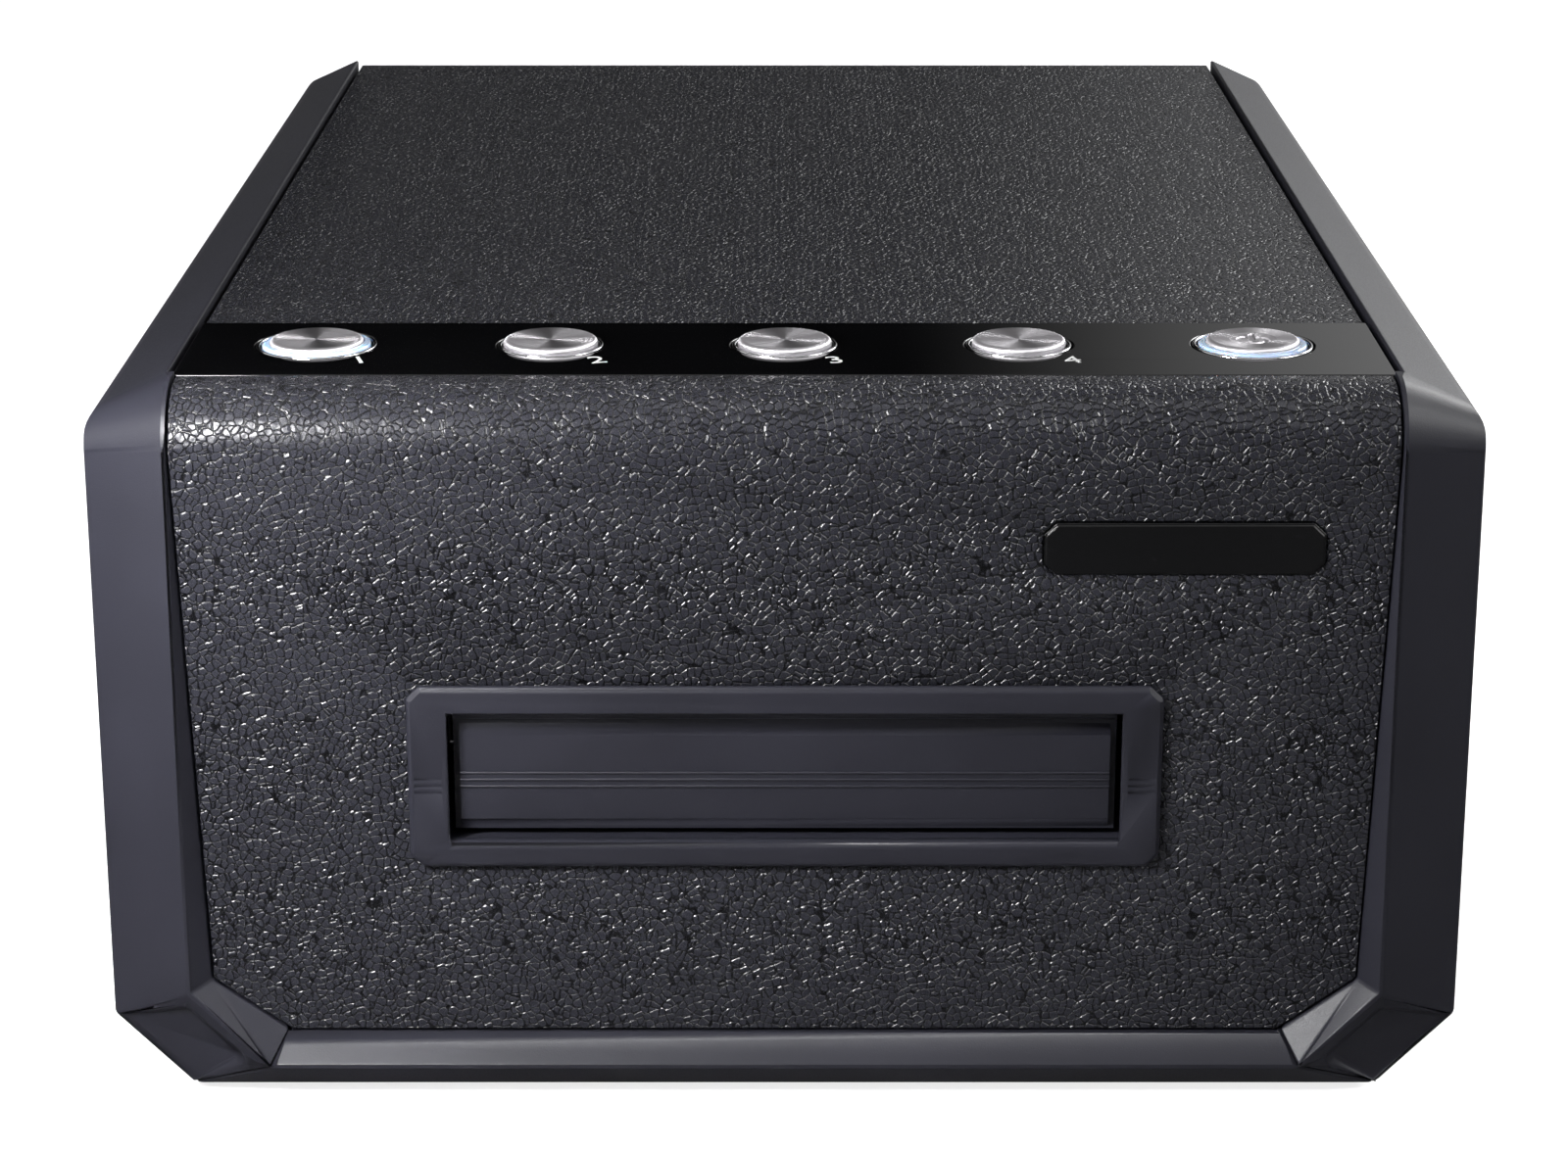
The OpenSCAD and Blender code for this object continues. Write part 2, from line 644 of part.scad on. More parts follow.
// Round wire swept along points: rings square to the path, joined into one closed skin
module wire(path, r, sides = 6) {
    n = len(path);
    tangent = [for (i = [0:n - 1]) unit(path[min(i + 1, n - 1)] - path[max(i - 1, 0)])];
    side = [for (t = tangent) unit(cross(t, abs(t.x) < 0.8 ? [1, 0, 0] : [0, 1, 0]))];
    up = [for (i = [0:n - 1]) cross(tangent[i], side[i])];
    polyhedron(
        points = [for (i = [0:n - 1], k = [0:sides - 1])
            path[i] + r * (cos(360 * k / sides) * side[i] + sin(360 * k / sides) * up[i])],
        faces = concat(
            [[for (k = [sides - 1:-1:0]) k]],
            [for (i = [0:n - 2], k = [0:sides - 1])
                let (a = i * sides + k, b = i * sides + (k + 1) % sides)
                    each [[a, b, b + sides], [a, b + sides, a + sides]]],
            [[for (k = [0:sides - 1]) (n - 1) * sides + k]]
        )
    );
}
// Torsion spring on the pin, between the left end of the door and the sleeve: its leg lies on the
// back of the door, with the tip bent in
module door_spring() {
    rings = 12;
    turns = 3.25;
    wire_r = door_spring_wire / 2;
    coil_r = hinge_pin_r + wire_r + 0.2;
    x0 = -door_half - 0.4 - wire_r;
    pitch = door_spring_wire + 0.1;
    leg_out = door_back - wire_r - 0.02;
    coil = [for (k = [0:turns * rings])
        let (a = 180 - 360 * k / rings)
            [x0 - pitch * k / rings, hinge_up + coil_r * sin(a), hinge_out + coil_r * cos(a)]];
    leg = [[-door_half + 1, hinge_up - 5, leg_out], [x0, hinge_up - 5, leg_out],
        [x0, hinge_up - 4.6, leg_out], [x0, hinge_up - 1, leg_out]];
    color(metal) on_face(slot_up) wire(concat(leg, coil), wire_r);
}

// ---------- Button plate, buttons and their board ----------
button_pitch = (hw - button_margin) / 2;
button_x = [for (k = [-2:2]) k * button_pitch];
button_y = y_plate + 17;
lit = [true, false, false, false, true];
plate_t = z_plate - z_ledge;
trim_in = [for (l = lit) cap_r + cap_gap + (l ? light_ring_w : 0)];
socket_wall = 1;
socket_h = 3.4;
trim_flange_t = 0.8;
flange_top = z_ledge - trim_flange_t - 0.1;
plunger_flange_t = 1.2;
switch_h = 3.4;
switch_knob_h = 0.3;
stem_bottom = flange_top - plunger_flange_t - 3;
button_board_z = stem_bottom - button_travel - 0.05 - switch_knob_h - switch_h;
button_post_x = [-button_pitch * 1.5, button_pitch * 1.5];
plate_half = x_tip - 0.7;
module button_plate() {
    color(gloss_black) difference() {
        union() {
            block([-plate_half, y_plate, z_ledge], [plate_half, y_plate + plate_d, z_plate]);
            for (x = button_x)
                rod_z(z_ledge - socket_h, z_ledge + eps, x, button_y,
                    plunger_r + plunger_clearance + socket_wall);
            for (x = button_post_x)
                rod_z(button_board_z, z_ledge + eps, x, button_y, 3.2);
        }
        for (k = [0:4]) {
            rod_z(z_ledge - 1, z_plate + 1, button_x[k], button_y, trim_in[k] + trim_wall + 0.25);
            rod_z(z_ledge - socket_h - 1, z_ledge, button_x[k], button_y, plunger_r + plunger_clearance);
        }
        for (x = button_post_x)
            rod_z(button_board_z - 1, button_board_z + 5, x, button_y, screw_r + 0.02);
    }
}
module trim_ring(inner) {
    rotate_extrude() polygon([[inner, z_ledge - trim_flange_t], [plunger_r, z_ledge - trim_flange_t],
        [plunger_r, z_ledge], [inner + trim_wall, z_ledge], [inner + trim_wall, z_plate],
        [inner + trim_wall * 0.6, z_plate + 0.15], [inner + 0.1, z_plate + 0.05], [inner, z_plate - 0.1]]);
}
module button_trim_rings() {
    color(metal) for (k = [0:4])
        translate([button_x[k], button_y, 0]) trim_ring(trim_in[k]);
}
z_cap = z_plate + cap_proud;
cap_skin = 0.8;
lit_ring_top = z_plate + 0.4;
// Metal cap: a cup on a plain button, a disc let into the light ring on a lit one
module button_cap(k) {
    bottom = lit[k] ? lit_ring_top - 0.9 : z_plate - 1.5;
    color(metal) translate([button_x[k], button_y, 0]) rotate_extrude()
        polygon(concat(
            [[0, z_cap - 0.12], [cap_r - cap_bevel - 0.2, z_cap]],
            [for (a = [90:-15:0]) [cap_r - cap_bevel, z_cap - cap_bevel] + cap_bevel * [cos(a), sin(a)]],
            [[cap_r, bottom]],
            lit[k]
                ? [[0, bottom]]
                : [[cap_r - cap_skin, bottom], [cap_r - cap_skin, z_cap - 1], [0, z_cap - 1]]
        ));
}
module plunger_foot() {
    translate([0, 0, flange_top - plunger_flange_t]) cylinder(h = plunger_flange_t, r = plunger_r);
    translate([0, 0, stem_bottom]) cylinder(h = 3.2, r = 2.4);
}
module plunger(k) {
    color(gloss_black) translate([button_x[k], button_y, 0]) {
        plunger_foot();
        rod_z(flange_top - eps, z_cap - 1, 0, 0, cap_r - cap_skin - 0.05);
    }
}
module light_ring(k) {
    ring_r = cap_r + light_ring_w;
    color(pale_blue) translate([button_x[k], button_y, 0]) {
        plunger_foot();
        rotate_extrude() polygon(concat(
            [[0, flange_top - eps], [ring_r, flange_top - eps]],
            [for (a = [0:15:90]) [ring_r - 0.45, lit_ring_top - 0.45] + 0.45 * [cos(a), sin(a)]],
            [[cap_r + 0.05, lit_ring_top], [cap_r + 0.05, lit_ring_top - 0.9], [0, lit_ring_top - 0.9]]
        ));
    }
}
module eject_button() { button_cap(0); }
module positive_button() { button_cap(1); }
module negative_button() { button_cap(2); }
module custom_button() { button_cap(3); }
module power_button() { button_cap(4); }
module eject_light_ring() { light_ring(0); }
module positive_plunger() { plunger(1); }
module negative_plunger() { plunger(2); }
module custom_plunger() { plunger(3); }
module power_light_ring() { light_ring(4); }

button_board_end = 11;
button_board_side = 9;
board_half = 2 * button_pitch + button_board_end;
module button_board() {
    color(board_green) difference() {
        union() {
            block([-board_half, button_y - button_board_side, button_board_z - board_t],
                [board_half, button_y + button_board_side, button_board_z]);
            // Socket for the ribbon cable, under the board
            block([ribbon_x0 - 1, button_y - 3, button_board_z - board_t - 2.5],
                [ribbon_x1 + 1, button_y + 1, button_board_z - board_t + eps]);
        }
        for (x = button_post_x)
            rod_z(button_board_z - board_t - 1, button_board_z + 1, x, button_y, screw_r + screw_clearance);
    }
}
module board_screws() {
    color(metal) {
        for (x = button_post_x)
            translate([x, button_y, button_board_z - board_t - 1.3]) screw(5.5);
        for (p = board_posts)
            translate([p.x, p.y, board_z + board_t + 1.3]) rotate([180, 0, 0]) screw(5.5);
    }
}
module tact_switches() {
    color(inner_grey) for (x = button_x) {
        block([x - 3, button_y - 3, button_board_z], [x + 3, button_y + 3, button_board_z + switch_h]);
        rod_z(button_board_z + switch_h - eps, button_board_z + switch_h + switch_knob_h, x, button_y, 1.7);
    }
}
ribbon_w = 12;
ribbon_inset = 9.4;
ribbon_x0 = 2 * button_pitch - ribbon_inset;
ribbon_x1 = ribbon_x0 + ribbon_w;
ribbon_t = 0.4;
module ribbon_cable() {
    // Side view: down from the button board, round a wide bend, and forward to the main board
    top = button_board_z - board_t - 2.5;
    y0 = button_y - 1;
    y1 = board_y0 + 3;
    bend = 12;
    foot = board_z + board_t + 3;
    outer = [for (a = [180:15:270]) [y0 + bend, foot + bend] + (bend + ribbon_t / 2) * [cos(a), sin(a)]];
    inner = [for (a = [270:-15:180]) [y0 + bend, foot + bend] + (bend - ribbon_t / 2) * [cos(a), sin(a)]];
    color(nylon_white) along_x(ribbon_x0, ribbon_x1) polygon(concat(
        [[y0 - ribbon_t / 2, top]], outer,
        [[y1, foot - ribbon_t / 2], [y1, foot + ribbon_t / 2]], inner,
        [[y0 + ribbon_t / 2, top]]));
}

// ---------- Top cover and rear panel ----------
y_cover = y_plate + plate_d + seam;
module top_cover() {
    color(grain_black) {
        block([-plate_half, y_cover, z_ledge], [plate_half, y_back - seam, z_cover]);
        // Stiffening ribs under the cover, clear of the ledges
        for (x = [-45, 0, 45])
            block([x - 0.8, y_cover + 8, z_ledge - 4], [x + 0.8, y_rear - 6, z_ledge + eps]);
    }
}
usb_x = 58;
dc_x = 69;
jack_z = board_z + board_t;
usb_w = 12;
usb_h = 11;
dc_w = 9;
dc_h = 11;
rear_corners = grow(casing_corners, -wall - seam);
module rear_outline() {
    intersection() {
        polygon(rear_corners);
        translate([-far / 2, z_floor_top + seam]) square([far, z_ledge - ledge_t - z_floor_top - 2 * seam]);
        union() {
            translate([-x_floor + flange_w + seam, 0]) square([2 * (x_floor - flange_w - seam), far]);
            translate([-far / 2, z_floor_top + flange_t + seam]) square([far, far]);
        }
    }
    // Tongue that fills the space between the ledges
    translate([-x_tip + ledge_w + seam, z_ledge - ledge_t - 2])
        square([2 * (x_tip - ledge_w - seam), ledge_t + 2 - seam]);
}
module rear_panel() {
    color(grey_plastic) difference() {
        along_y(y_rear, y_rear + rear_t) rear_outline();
        along_y(y_rear - 1, far) {
            translate([usb_x, jack_z + usb_h / 2]) square([usb_w + 0.4, usb_h + 0.4], center = true);
            translate([dc_x, jack_z + dc_h / 2]) square([dc_w + 0.4, dc_h + 0.4], center = true);
        }
        for (s = [-1, 1], z = rear_boss_z)
            rod_y(y_rear - 1, far, s * rear_boss_x, z, screw_r + screw_clearance);
        // Two banks of vent slots
        for (k = [-9:9], z = [70, 84])
            along_y(y_rear - 1, far) translate([k * 6, z])
                polygon(rounded(box_outline(2.4, 10), [1.1, 1.1, 1.1, 1.1], 4));
    }
}

// ---------- Main board and sockets ----------
socket_depth = 14;
module main_board() {
    color(board_green) {
        difference() {
            block([board_x0, board_y0, board_z], [board_x1, y_rear - 0.4, board_z + board_t]);
            for (p = board_posts)
                rod_z(board_z - 1, board_z + board_t + 1, p.x, p.y, screw_r + screw_clearance);
        }
        // Main chip, memory, capacitors and the ribbon's socket
        block([board_x0 + 4, -30, board_z + board_t - eps], [board_x0 + 20, -14, board_z + board_t + 1.4]);
        block([board_x0 + 6, 0, board_z + board_t - eps], [board_x0 + 16, 18, board_z + board_t + 1.2]);
        for (y = [36, 48])
            rod_z(board_z + board_t - eps, board_z + board_t + 9, board_x0 + 10, y, 4);
        block([ribbon_x0 - 1, board_y0 + 3, board_z + board_t - eps],
            [ribbon_x1 + 1, board_y0 + 8, board_z + board_t + 5]);
    }
}
module usb_socket() {
    front = y_rear + rear_t;
    color(metal) difference() {
        block([usb_x - usb_w / 2, front - socket_depth, jack_z], [usb_x + usb_w / 2, front, jack_z + usb_h]);
        // Square mouth with two upper corners cut, and the tongue left in it
        along_y(front - 9, front + 1) translate([usb_x, jack_z + usb_h / 2]) difference() {
            polygon([[-4.2, -3.9], [4.2, -3.9], [4.2, 2], [2.3, 3.9], [-2.3, 3.9], [-4.2, 2]]);
            square([5.6, 3.1], center = true);
        }
    }
}
module dc_inlet() {
    front = y_rear + rear_t;
    color(gloss_black) {
        difference() {
            block([dc_x - dc_w / 2, front - socket_depth, jack_z], [dc_x + dc_w / 2, front, jack_z + dc_h]);
            rod_y(front - 10, front + 1, dc_x, jack_z + 6.2, 3.1);
        }
        rod_y(front - 10 - eps, front - 1, dc_x, jack_z + 6.2, 1);
    }
}

// ---------- Chassis and film channel ----------
deck_top = z_floor + deck_z;
channel_top = deck_top + channel_h;
wall_top = channel_top + 5.4;
chassis_y0 = y_front + 26.5;
chassis_y1 = y_rear - 8;
scan_y = 0;
shaft_y = -30;
pinion_outer = pinion_module * (pinion_teeth / 2 + 1);
shaft_z = deck_top + 2 - pinion_outer;
bush_r = shaft_r + 2;
bush_flange_r = deck_top - deck_t - shaft_z - 0.1;
small_r = gear_module * small_teeth / 2;
large_r = gear_module * large_teeth / 2;
feed_r = gear_module * feed_teeth / 2;
motor_pinion_r = gear_module * motor_teeth / 2;
stud_angle = 205;
stud_y = shaft_y + (feed_r + small_r) * cos(stud_angle);
stud_z = shaft_z + (feed_r + small_r) * sin(stud_angle);
motor_z = z_floor_top + motor_r + 1;
motor_y = stud_y - sqrt(pow(large_r + motor_pinion_r, 2) - pow(stud_z - motor_z, 2));
motor_l = 20;
motor_ear_t = 1.2;
stud_r = 1.5;
wheel_x = -chassis_x - chassis_t - 1;
window_y = [12, 40, 68];
window_z = 22;
window_w = 22;
window_h = 18;

module chassis_wall() {
    difference() {
        union() {
            block([chassis_x, chassis_y0, z_floor_top], [chassis_x + chassis_t, chassis_y1, wall_top]);
            for (y = chassis_tab_y)
                translate([chassis_x, y - chassis_tab_l / 2, z_floor_top])
                    cube([chassis_t + chassis_tab_w, chassis_tab_l, chassis_tab_t]);
        }
        for (y = chassis_tab_y)
            rod_z(0, z_floor_top + chassis_tab_t + 1, chassis_tab_x, y, screw_r + screw_clearance);
        rod_x(chassis_x - 1, chassis_x + chassis_t + 1, shaft_y, shaft_z, bush_r);
        for (y = [scan_y - 8, scan_y + 8])
            translate([chassis_x + chassis_t / 2, y, wall_top - 4]) cylinder(h = 5, r = 0.8);
        // Windows beside the optics
        for (y = window_y)
            along_x(chassis_x - 1, chassis_x + chassis_t + 1) translate([y, window_z])
                polygon(rounded(box_outline(window_w, window_h), [3, 3, 3, 3]));
    }
}
module chassis_wall_right() { color(inner_grey) chassis_wall(); }
module chassis_wall_left() {
    color(inner_grey) difference() {
        mirror([1, 0, 0]) chassis_wall();
        rod_x(-chassis_x - chassis_t - 1, -chassis_x + 1, stud_y, stud_z, stud_r);
        rod_x(-chassis_x - chassis_t - 1, -chassis_x + 1, motor_y, motor_z, 4.5);
        for (s = [-1, 1])
            rod_x(-chassis_x - 2.4, -chassis_x + 1, motor_y + s * (motor_r + 2.2), motor_z, 0.8);
    }
}
module chassis_screws() {
    color(metal) for (s = [-1, 1], y = chassis_tab_y)
        translate([s * chassis_tab_x, y, z_floor_top + chassis_tab_t + 1.3]) rotate([180, 0, 0])
            screw(chassis_tab_t + 1.6);
}
slot_x0 = 36.3;
slot_x1 = 43.2;
sensor_at = [22, chassis_y0 + 12];
module film_deck() {
    slot_half = sqrt(pow(pinion_outer + 0.8, 2) - pow(deck_top - deck_t - shaft_z, 2));
    color(inner_grey) difference() {
        along_x(-chassis_x, chassis_x)
            polygon([[chassis_y0, deck_top - deck_t], [chassis_y1, deck_top - deck_t],
                [chassis_y1, deck_top], [chassis_y0 + 4, deck_top], [chassis_y0, deck_top - 1.4]]);
        // Scanning aperture
        block([-23, scan_y - 6, 0], [23, scan_y + 6, far]);
        left_and_right()
            block([slot_x0, shaft_y - slot_half, 0], [slot_x1, shaft_y + slot_half, far]);
        rod_z(0, far, sensor_at.x, sensor_at.y, 1.6);
    }
}
module holder_sensor() {
    z = deck_top - deck_t;
    color(gloss_black) difference() {
        block([sensor_at.x - 5, sensor_at.y - 3.5, z - 4.5], [sensor_at.x + 5, sensor_at.y + 3.5, z]);
        rod_z(z - 1.5, z + 1, sensor_at.x, sensor_at.y, 1.4);
    }
}

// ---------- Lamp ----------
lamp_half = 31;
lamp_d = 26;
lamp_top = wall_top + 14;
lamp_skin = 2;
lamp_flange_t = 2.4;
lamp_board_z = lamp_top - lamp_skin - 4;
module lamp_housing() {
    color(inner_grey) difference() {
        union() {
            block([-lamp_half, scan_y - lamp_d / 2, channel_top + 0.6],
                [lamp_half, scan_y + lamp_d / 2, lamp_top]);
            block([-chassis_x - chassis_t, scan_y - lamp_d / 2, wall_top],
                [chassis_x + chassis_t, scan_y + lamp_d / 2, wall_top + lamp_flange_t]);
        }
        block([-lamp_half + lamp_skin, scan_y - lamp_d / 2 + lamp_skin, 0],
            [lamp_half - lamp_skin, scan_y + lamp_d / 2 - lamp_skin, lamp_top - lamp_skin]);
        for (s = [-1, 1], y = [scan_y - 8, scan_y + 8])
            translate([s * (chassis_x + chassis_t / 2), y, wall_top - 1]) cylinder(h = 5, r = 0.95);
    }
}
// Small screw with its head at the origin, pointing along -Z
module small_screw(length) {
    cylinder(h = 1, r = 1.5);
    translate([0, 0, -length]) cylinder(h = length + eps, r = 0.78);
}
module small_screws() {
    color(metal) {
        for (s = [-1, 1], y = [scan_y - 8, scan_y + 8])
            translate([s * (chassis_x + chassis_t / 2), y, wall_top + lamp_flange_t]) small_screw(5.9);
        for (s = [-1, 1])
            translate([-chassis_x + motor_ear_t, motor_y + s * (motor_r + 2.2), motor_z])
                rotate([0, 90, 0]) small_screw(motor_ear_t + 2);
    }
}
module lamp_board() {
    color(board_green) {
        block([-lamp_half + lamp_skin, scan_y - lamp_d / 2 + lamp_skin, lamp_board_z],
            [lamp_half - lamp_skin, scan_y + lamp_d / 2 - lamp_skin, lamp_board_z + board_t]);
        block([-lamp_half + lamp_skin, scan_y - 2, lamp_board_z + board_t - eps],
            [-lamp_half + lamp_skin + 4, scan_y + 2, lamp_top - lamp_skin]);
        block([lamp_half - lamp_skin - 4, scan_y - 2, lamp_board_z + board_t - eps],
            [lamp_half - lamp_skin, scan_y + 2, lamp_top - lamp_skin]);
        for (x = [-22.5:7.5:22.5])
            block([x - 1.8, scan_y - 1.4, lamp_board_z - 0.9], [x + 1.8, scan_y + 1.4, lamp_board_z + eps]);
    }
}
module lamp_diffuser() {
    color("white") block([-lamp_half + lamp_skin, scan_y - lamp_d / 2 + lamp_skin, channel_top + 0.8],
        [lamp_half - lamp_skin, scan_y + lamp_d / 2 - lamp_skin, channel_top + 2.8]);
}

// ---------- Optics under the deck ----------
cradle_half = 28;
cradle_y0 = -17;
cradle_y1 = 104;
cradle_z = z_floor_top + 5.6;
cradle_t = 2.4;
cradle_floor = cradle_z + cradle_t;
cradle_top = 33;
axis_z = cradle_floor + 10.6;
lens_y = 46;
lens_r = 10.5;
mirror_t = 3;
module optics_cradle() {
    color(gloss_black) difference() {
        union() {
            block([-cradle_half, cradle_y0, cradle_z], [cradle_half, cradle_y1, cradle_floor]);
            left_and_right()
                block([cradle_half - cradle_t, cradle_y0, cradle_z], [cradle_half, cradle_y1, cradle_top]);
            block([-cradle_half, cradle_y1 - cradle_t, cradle_z], [cradle_half, cradle_y1, cradle_top]);
            // Feet down to the floor
            for (s = [-1, 1], y = [cradle_y0 + 6, cradle_y1 - 6])
                rod_z(z_floor_top, cradle_z + eps, s * (cradle_half - 5), y, 4);
            // Block that the lens lies in
            block([-lens_r - 3, lens_y + 2, cradle_floor - eps], [lens_r + 3, lens_y + 16, axis_z]);
        }
        rod_y(lens_y, lens_y + 18, 0, axis_z, lens_r + 0.05);
    }
}
module mirror_mount() {
    // Wedge under the mirror, its slope at 45 degrees
    plane = scan_y + axis_z - mirror_t * sqrt(2);
    color(gloss_black) along_x(-20, 20)
        polygon([[cradle_y0 + 2, cradle_floor], [plane - cradle_floor, cradle_floor],
            [cradle_y0 + 2, plane - cradle_y0 - 2]]);
}
module fold_mirror() {
    color("silver") translate([0, scan_y, axis_z]) rotate([-45, 0, 0])
        translate([-21, -12, -mirror_t]) cube([42, 24, mirror_t]);
}
module lens_barrel() {
    color(gloss_black) translate([0, lens_y, axis_z]) rotate([-90, 0, 0]) rotate_extrude()
        polygon([[7, 0], [9, 0], [9.5, 0.5], [9.5, 2], [lens_r, 2], [lens_r, 16],
            [8.5, 16], [8.5, 22], [6, 22], [6, 20], [7, 20]]);
}
module lens_glass() {
    color("lightblue") {
        rod_y(lens_y + 1.5, lens_y + 5, 0, axis_z, 6.95);
        rod_y(lens_y + 16, lens_y + 19.9, 0, axis_z, 6.95);
    }
}
module lens_strap() {
    color(metal) difference() {
        along_y(lens_y + 5, lens_y + 13) union() {
            translate([-lens_r - 3, axis_z]) square([2 * lens_r + 6, 1.2]);
            translate([0, axis_z]) intersection() {
                circle(r = lens_r + 1.2);
                translate([-lens_r - 3, 0]) square([2 * lens_r + 6, lens_r + 3]);
            }
        }
        rod_y(lens_y, lens_y + 18, 0, axis_z, lens_r + 0.03);
    }
}
module sensor_board() {
    color(board_green) block([-25, cradle_y1 - cradle_t - board_t, cradle_floor],
        [25, cradle_y1 - cradle_t, cradle_top - 1]);
}
module image_sensor() {
    y = cradle_y1 - cradle_t - board_t;
    color(inner_grey) difference() {
        block([-21, y - 3.6, axis_z - 4.8], [21, y, axis_z + 4.8]);
        block([-17, y - 4.6, axis_z - 1.6], [17, y - 3, axis_z + 1.6]);
    }
}

// ---------- Motor and gears ----------
backlash = 0.12;
function involute(base, a) = base * [cos(a) + a * PI / 180 * sin(a), sin(a) - a * PI / 180 * cos(a)];
function spin(p, a) = [p.x * cos(a) - p.y * sin(a), p.x * sin(a) + p.y * cos(a)];
// Involute wheel: each tooth is its two flanks, cut off at the outer and root circles
function wheel_points(m, teeth) =
    let (
        pitch_r = m * teeth / 2,
        base = pitch_r * cos(20),
        outer = pitch_r + m * 0.92,
        root = pitch_r - m * 1.2,
        start = max(root, base),
        lean = sqrt(pow(pitch_r / base, 2) - 1) * 180 / PI - acos(base / pitch_r),
        half = 90 / teeth - backlash / pitch_r * 90 / PI,
        steps = 4,
        flank = [for (k = [0:steps])
            let (r = start + (outer - start) * k / steps, a = sqrt(pow(r / base, 2) - 1) * 180 / PI)
                spin(involute(base, a), -half - lean)],
        foot = spin([root, 0], -half - lean)
    )
    [for (t = [0:teeth - 1])
        each concat([spin(foot, 360 * t / teeth)],
            [for (p = flank) spin(p, 360 * t / teeth)],
            [for (k = [steps:-1:0]) spin([flank[k].x, -flank[k].y], 360 * t / teeth)],
            [spin([foot.x, -foot.y], 360 * t / teeth)])];
// Wheel with its axis along X at y, z, from x0 to x1, one tooth pointing at angle a from +Y
module wheel(m, teeth, x0, x1, y, z, a, bore) {
    translate([x0, y, z]) rotate([90, 0, 90]) rotate(a) linear_extrude(x1 - x0) difference() {
        polygon(wheel_points(m, teeth));
        circle(r = bore);
    }
}
// A tooth of one wheel meets a gap of the next along the line between their axes
feed_phase = stud_angle;
small_phase = stud_angle + 180 + 180 / small_teeth;
motor_angle = atan2(motor_z - stud_z, motor_y - stud_y);
motor_phase = motor_angle + 180 + 180 / motor_teeth;
feed_x0 = wheel_x - gear_w;
large_x0 = feed_x0 - 0.6 - gear_w;
module feed_gear() {
    color(nylon_white) {
        wheel(gear_module, feed_teeth, feed_x0, wheel_x, shaft_y, shaft_z, feed_phase, shaft_r);
    }
}
module reduction_gear() {
    color(nylon_white) {
        bore = stud_r + shaft_clearance;
        wheel(gear_module, small_teeth, feed_x0 - 0.6, wheel_x, stud_y, stud_z, small_phase, bore);
        wheel(gear_module, large_teeth, large_x0, feed_x0 - 0.6 + eps, stud_y, stud_z, motor_angle, bore);
    }
}
module gear_stud() {
    color(metal) {
        rod_x(large_x0 - 1, -chassis_x, stud_y, stud_z, stud_r);
        rod_x(large_x0 - 1.8, large_x0 - 0.3, stud_y, stud_z, stud_r + 1.2);
        rod_x(wheel_x + 0.2, -chassis_x - chassis_t, stud_y, stud_z, stud_r + 1);
    }
}
module motor_pinion() {
    color(metal)
        wheel(gear_module, motor_teeth, large_x0 - 0.5, feed_x0 - 0.3, motor_y, motor_z, motor_phase, 1);
}
module motor_shaft() {
    color(metal) rod_x(large_x0 - 0.5, -chassis_x + motor_l - 4, motor_y, motor_z, 1);
}
module stepper_motor() {
    x0 = -chassis_x;
    color(metal) difference() {
        union() {
            rod_x(x0, x0 + motor_l, motor_y, motor_z, motor_r);
            // Two ears and the front boss
            block([x0, motor_y - motor_r - 4.5, motor_z - 3.5],
                [x0 + motor_ear_t, motor_y + motor_r + 4.5, motor_z + 3.5]);
            rod_x(x0 - chassis_t, x0 + 1, motor_y, motor_z, 4.4);
        }
        rod_x(x0 - chassis_t - 1, x0 + motor_l - 3.5, motor_y, motor_z, 1 + shaft_clearance);
        for (s = [-1, 1])
            rod_x(x0 - 1, x0 + 2, motor_y + s * (motor_r + 2.2), motor_z, 0.95);
    }
}
module feed_shaft() {
    color(metal) rod_x(feed_x0 - 0.8, chassis_x + chassis_t + 1.5, shaft_y, shaft_z, shaft_r);
}
module feed_pinions() {
    color(nylon_white) {
        wheel(pinion_module, pinion_teeth, slot_x0 + 0.6, slot_x1 - 0.6, shaft_y, shaft_z, 90, shaft_r);
        wheel(pinion_module, pinion_teeth, -slot_x1 + 0.6, -slot_x0 - 0.6, shaft_y, shaft_z, 90, shaft_r);
    }
}
module shaft_bushes() {
    color(nylon_white) left_and_right() difference() {
        union() {
            rod_x(chassis_x, chassis_x + chassis_t, shaft_y, shaft_z, bush_r);
            rod_x(chassis_x - 0.9, chassis_x + eps, shaft_y, shaft_z, bush_flange_r);
        }
        rod_x(chassis_x - 2, chassis_x + chassis_t + 1, shaft_y, shaft_z, shaft_r + shaft_clearance);
    }
}

base_tray();
side_panel_left();
side_panel_right();
front_panel();
top_cover();
rear_panel();
button_plate();
button_trim_rings();
slot_bezel();
slot_door();
door_hinge_pin();
door_spring();
name_plaque();
rubber_feet();
case_screws();
rear_screws();
eject_button();
positive_button();
negative_button();
custom_button();
power_button();
eject_light_ring();
positive_plunger();
negative_plunger();
custom_plunger();
power_light_ring();
button_board();
tact_switches();
board_screws();
ribbon_cable();
chassis_wall_left();
chassis_wall_right();
film_deck();
chassis_screws();
holder_sensor();
lamp_housing();
lamp_board();
lamp_diffuser();
small_screws();
optics_cradle();
fold_mirror();
mirror_mount();
lens_barrel();
lens_glass();
lens_strap();
image_sensor();
sensor_board();
main_board();
dc_inlet();
usb_socket();
stepper_motor();
motor_shaft();
motor_pinion();
reduction_gear();
gear_stud();
feed_gear();
feed_shaft();
feed_pinions();
shaft_bushes();
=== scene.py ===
"""Looks of the film negative scanner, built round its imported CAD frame.

Lengths are metres in the row frame: X to the right, Y to the back, Z up, with the origin on the
surface under the middle of the body. The panel in the 3D view's sidebar lists sizes and colours.
"""

import json
import math

import bmesh
import bpy
import numpy as np
from mathutils import Euler, Matrix, Vector


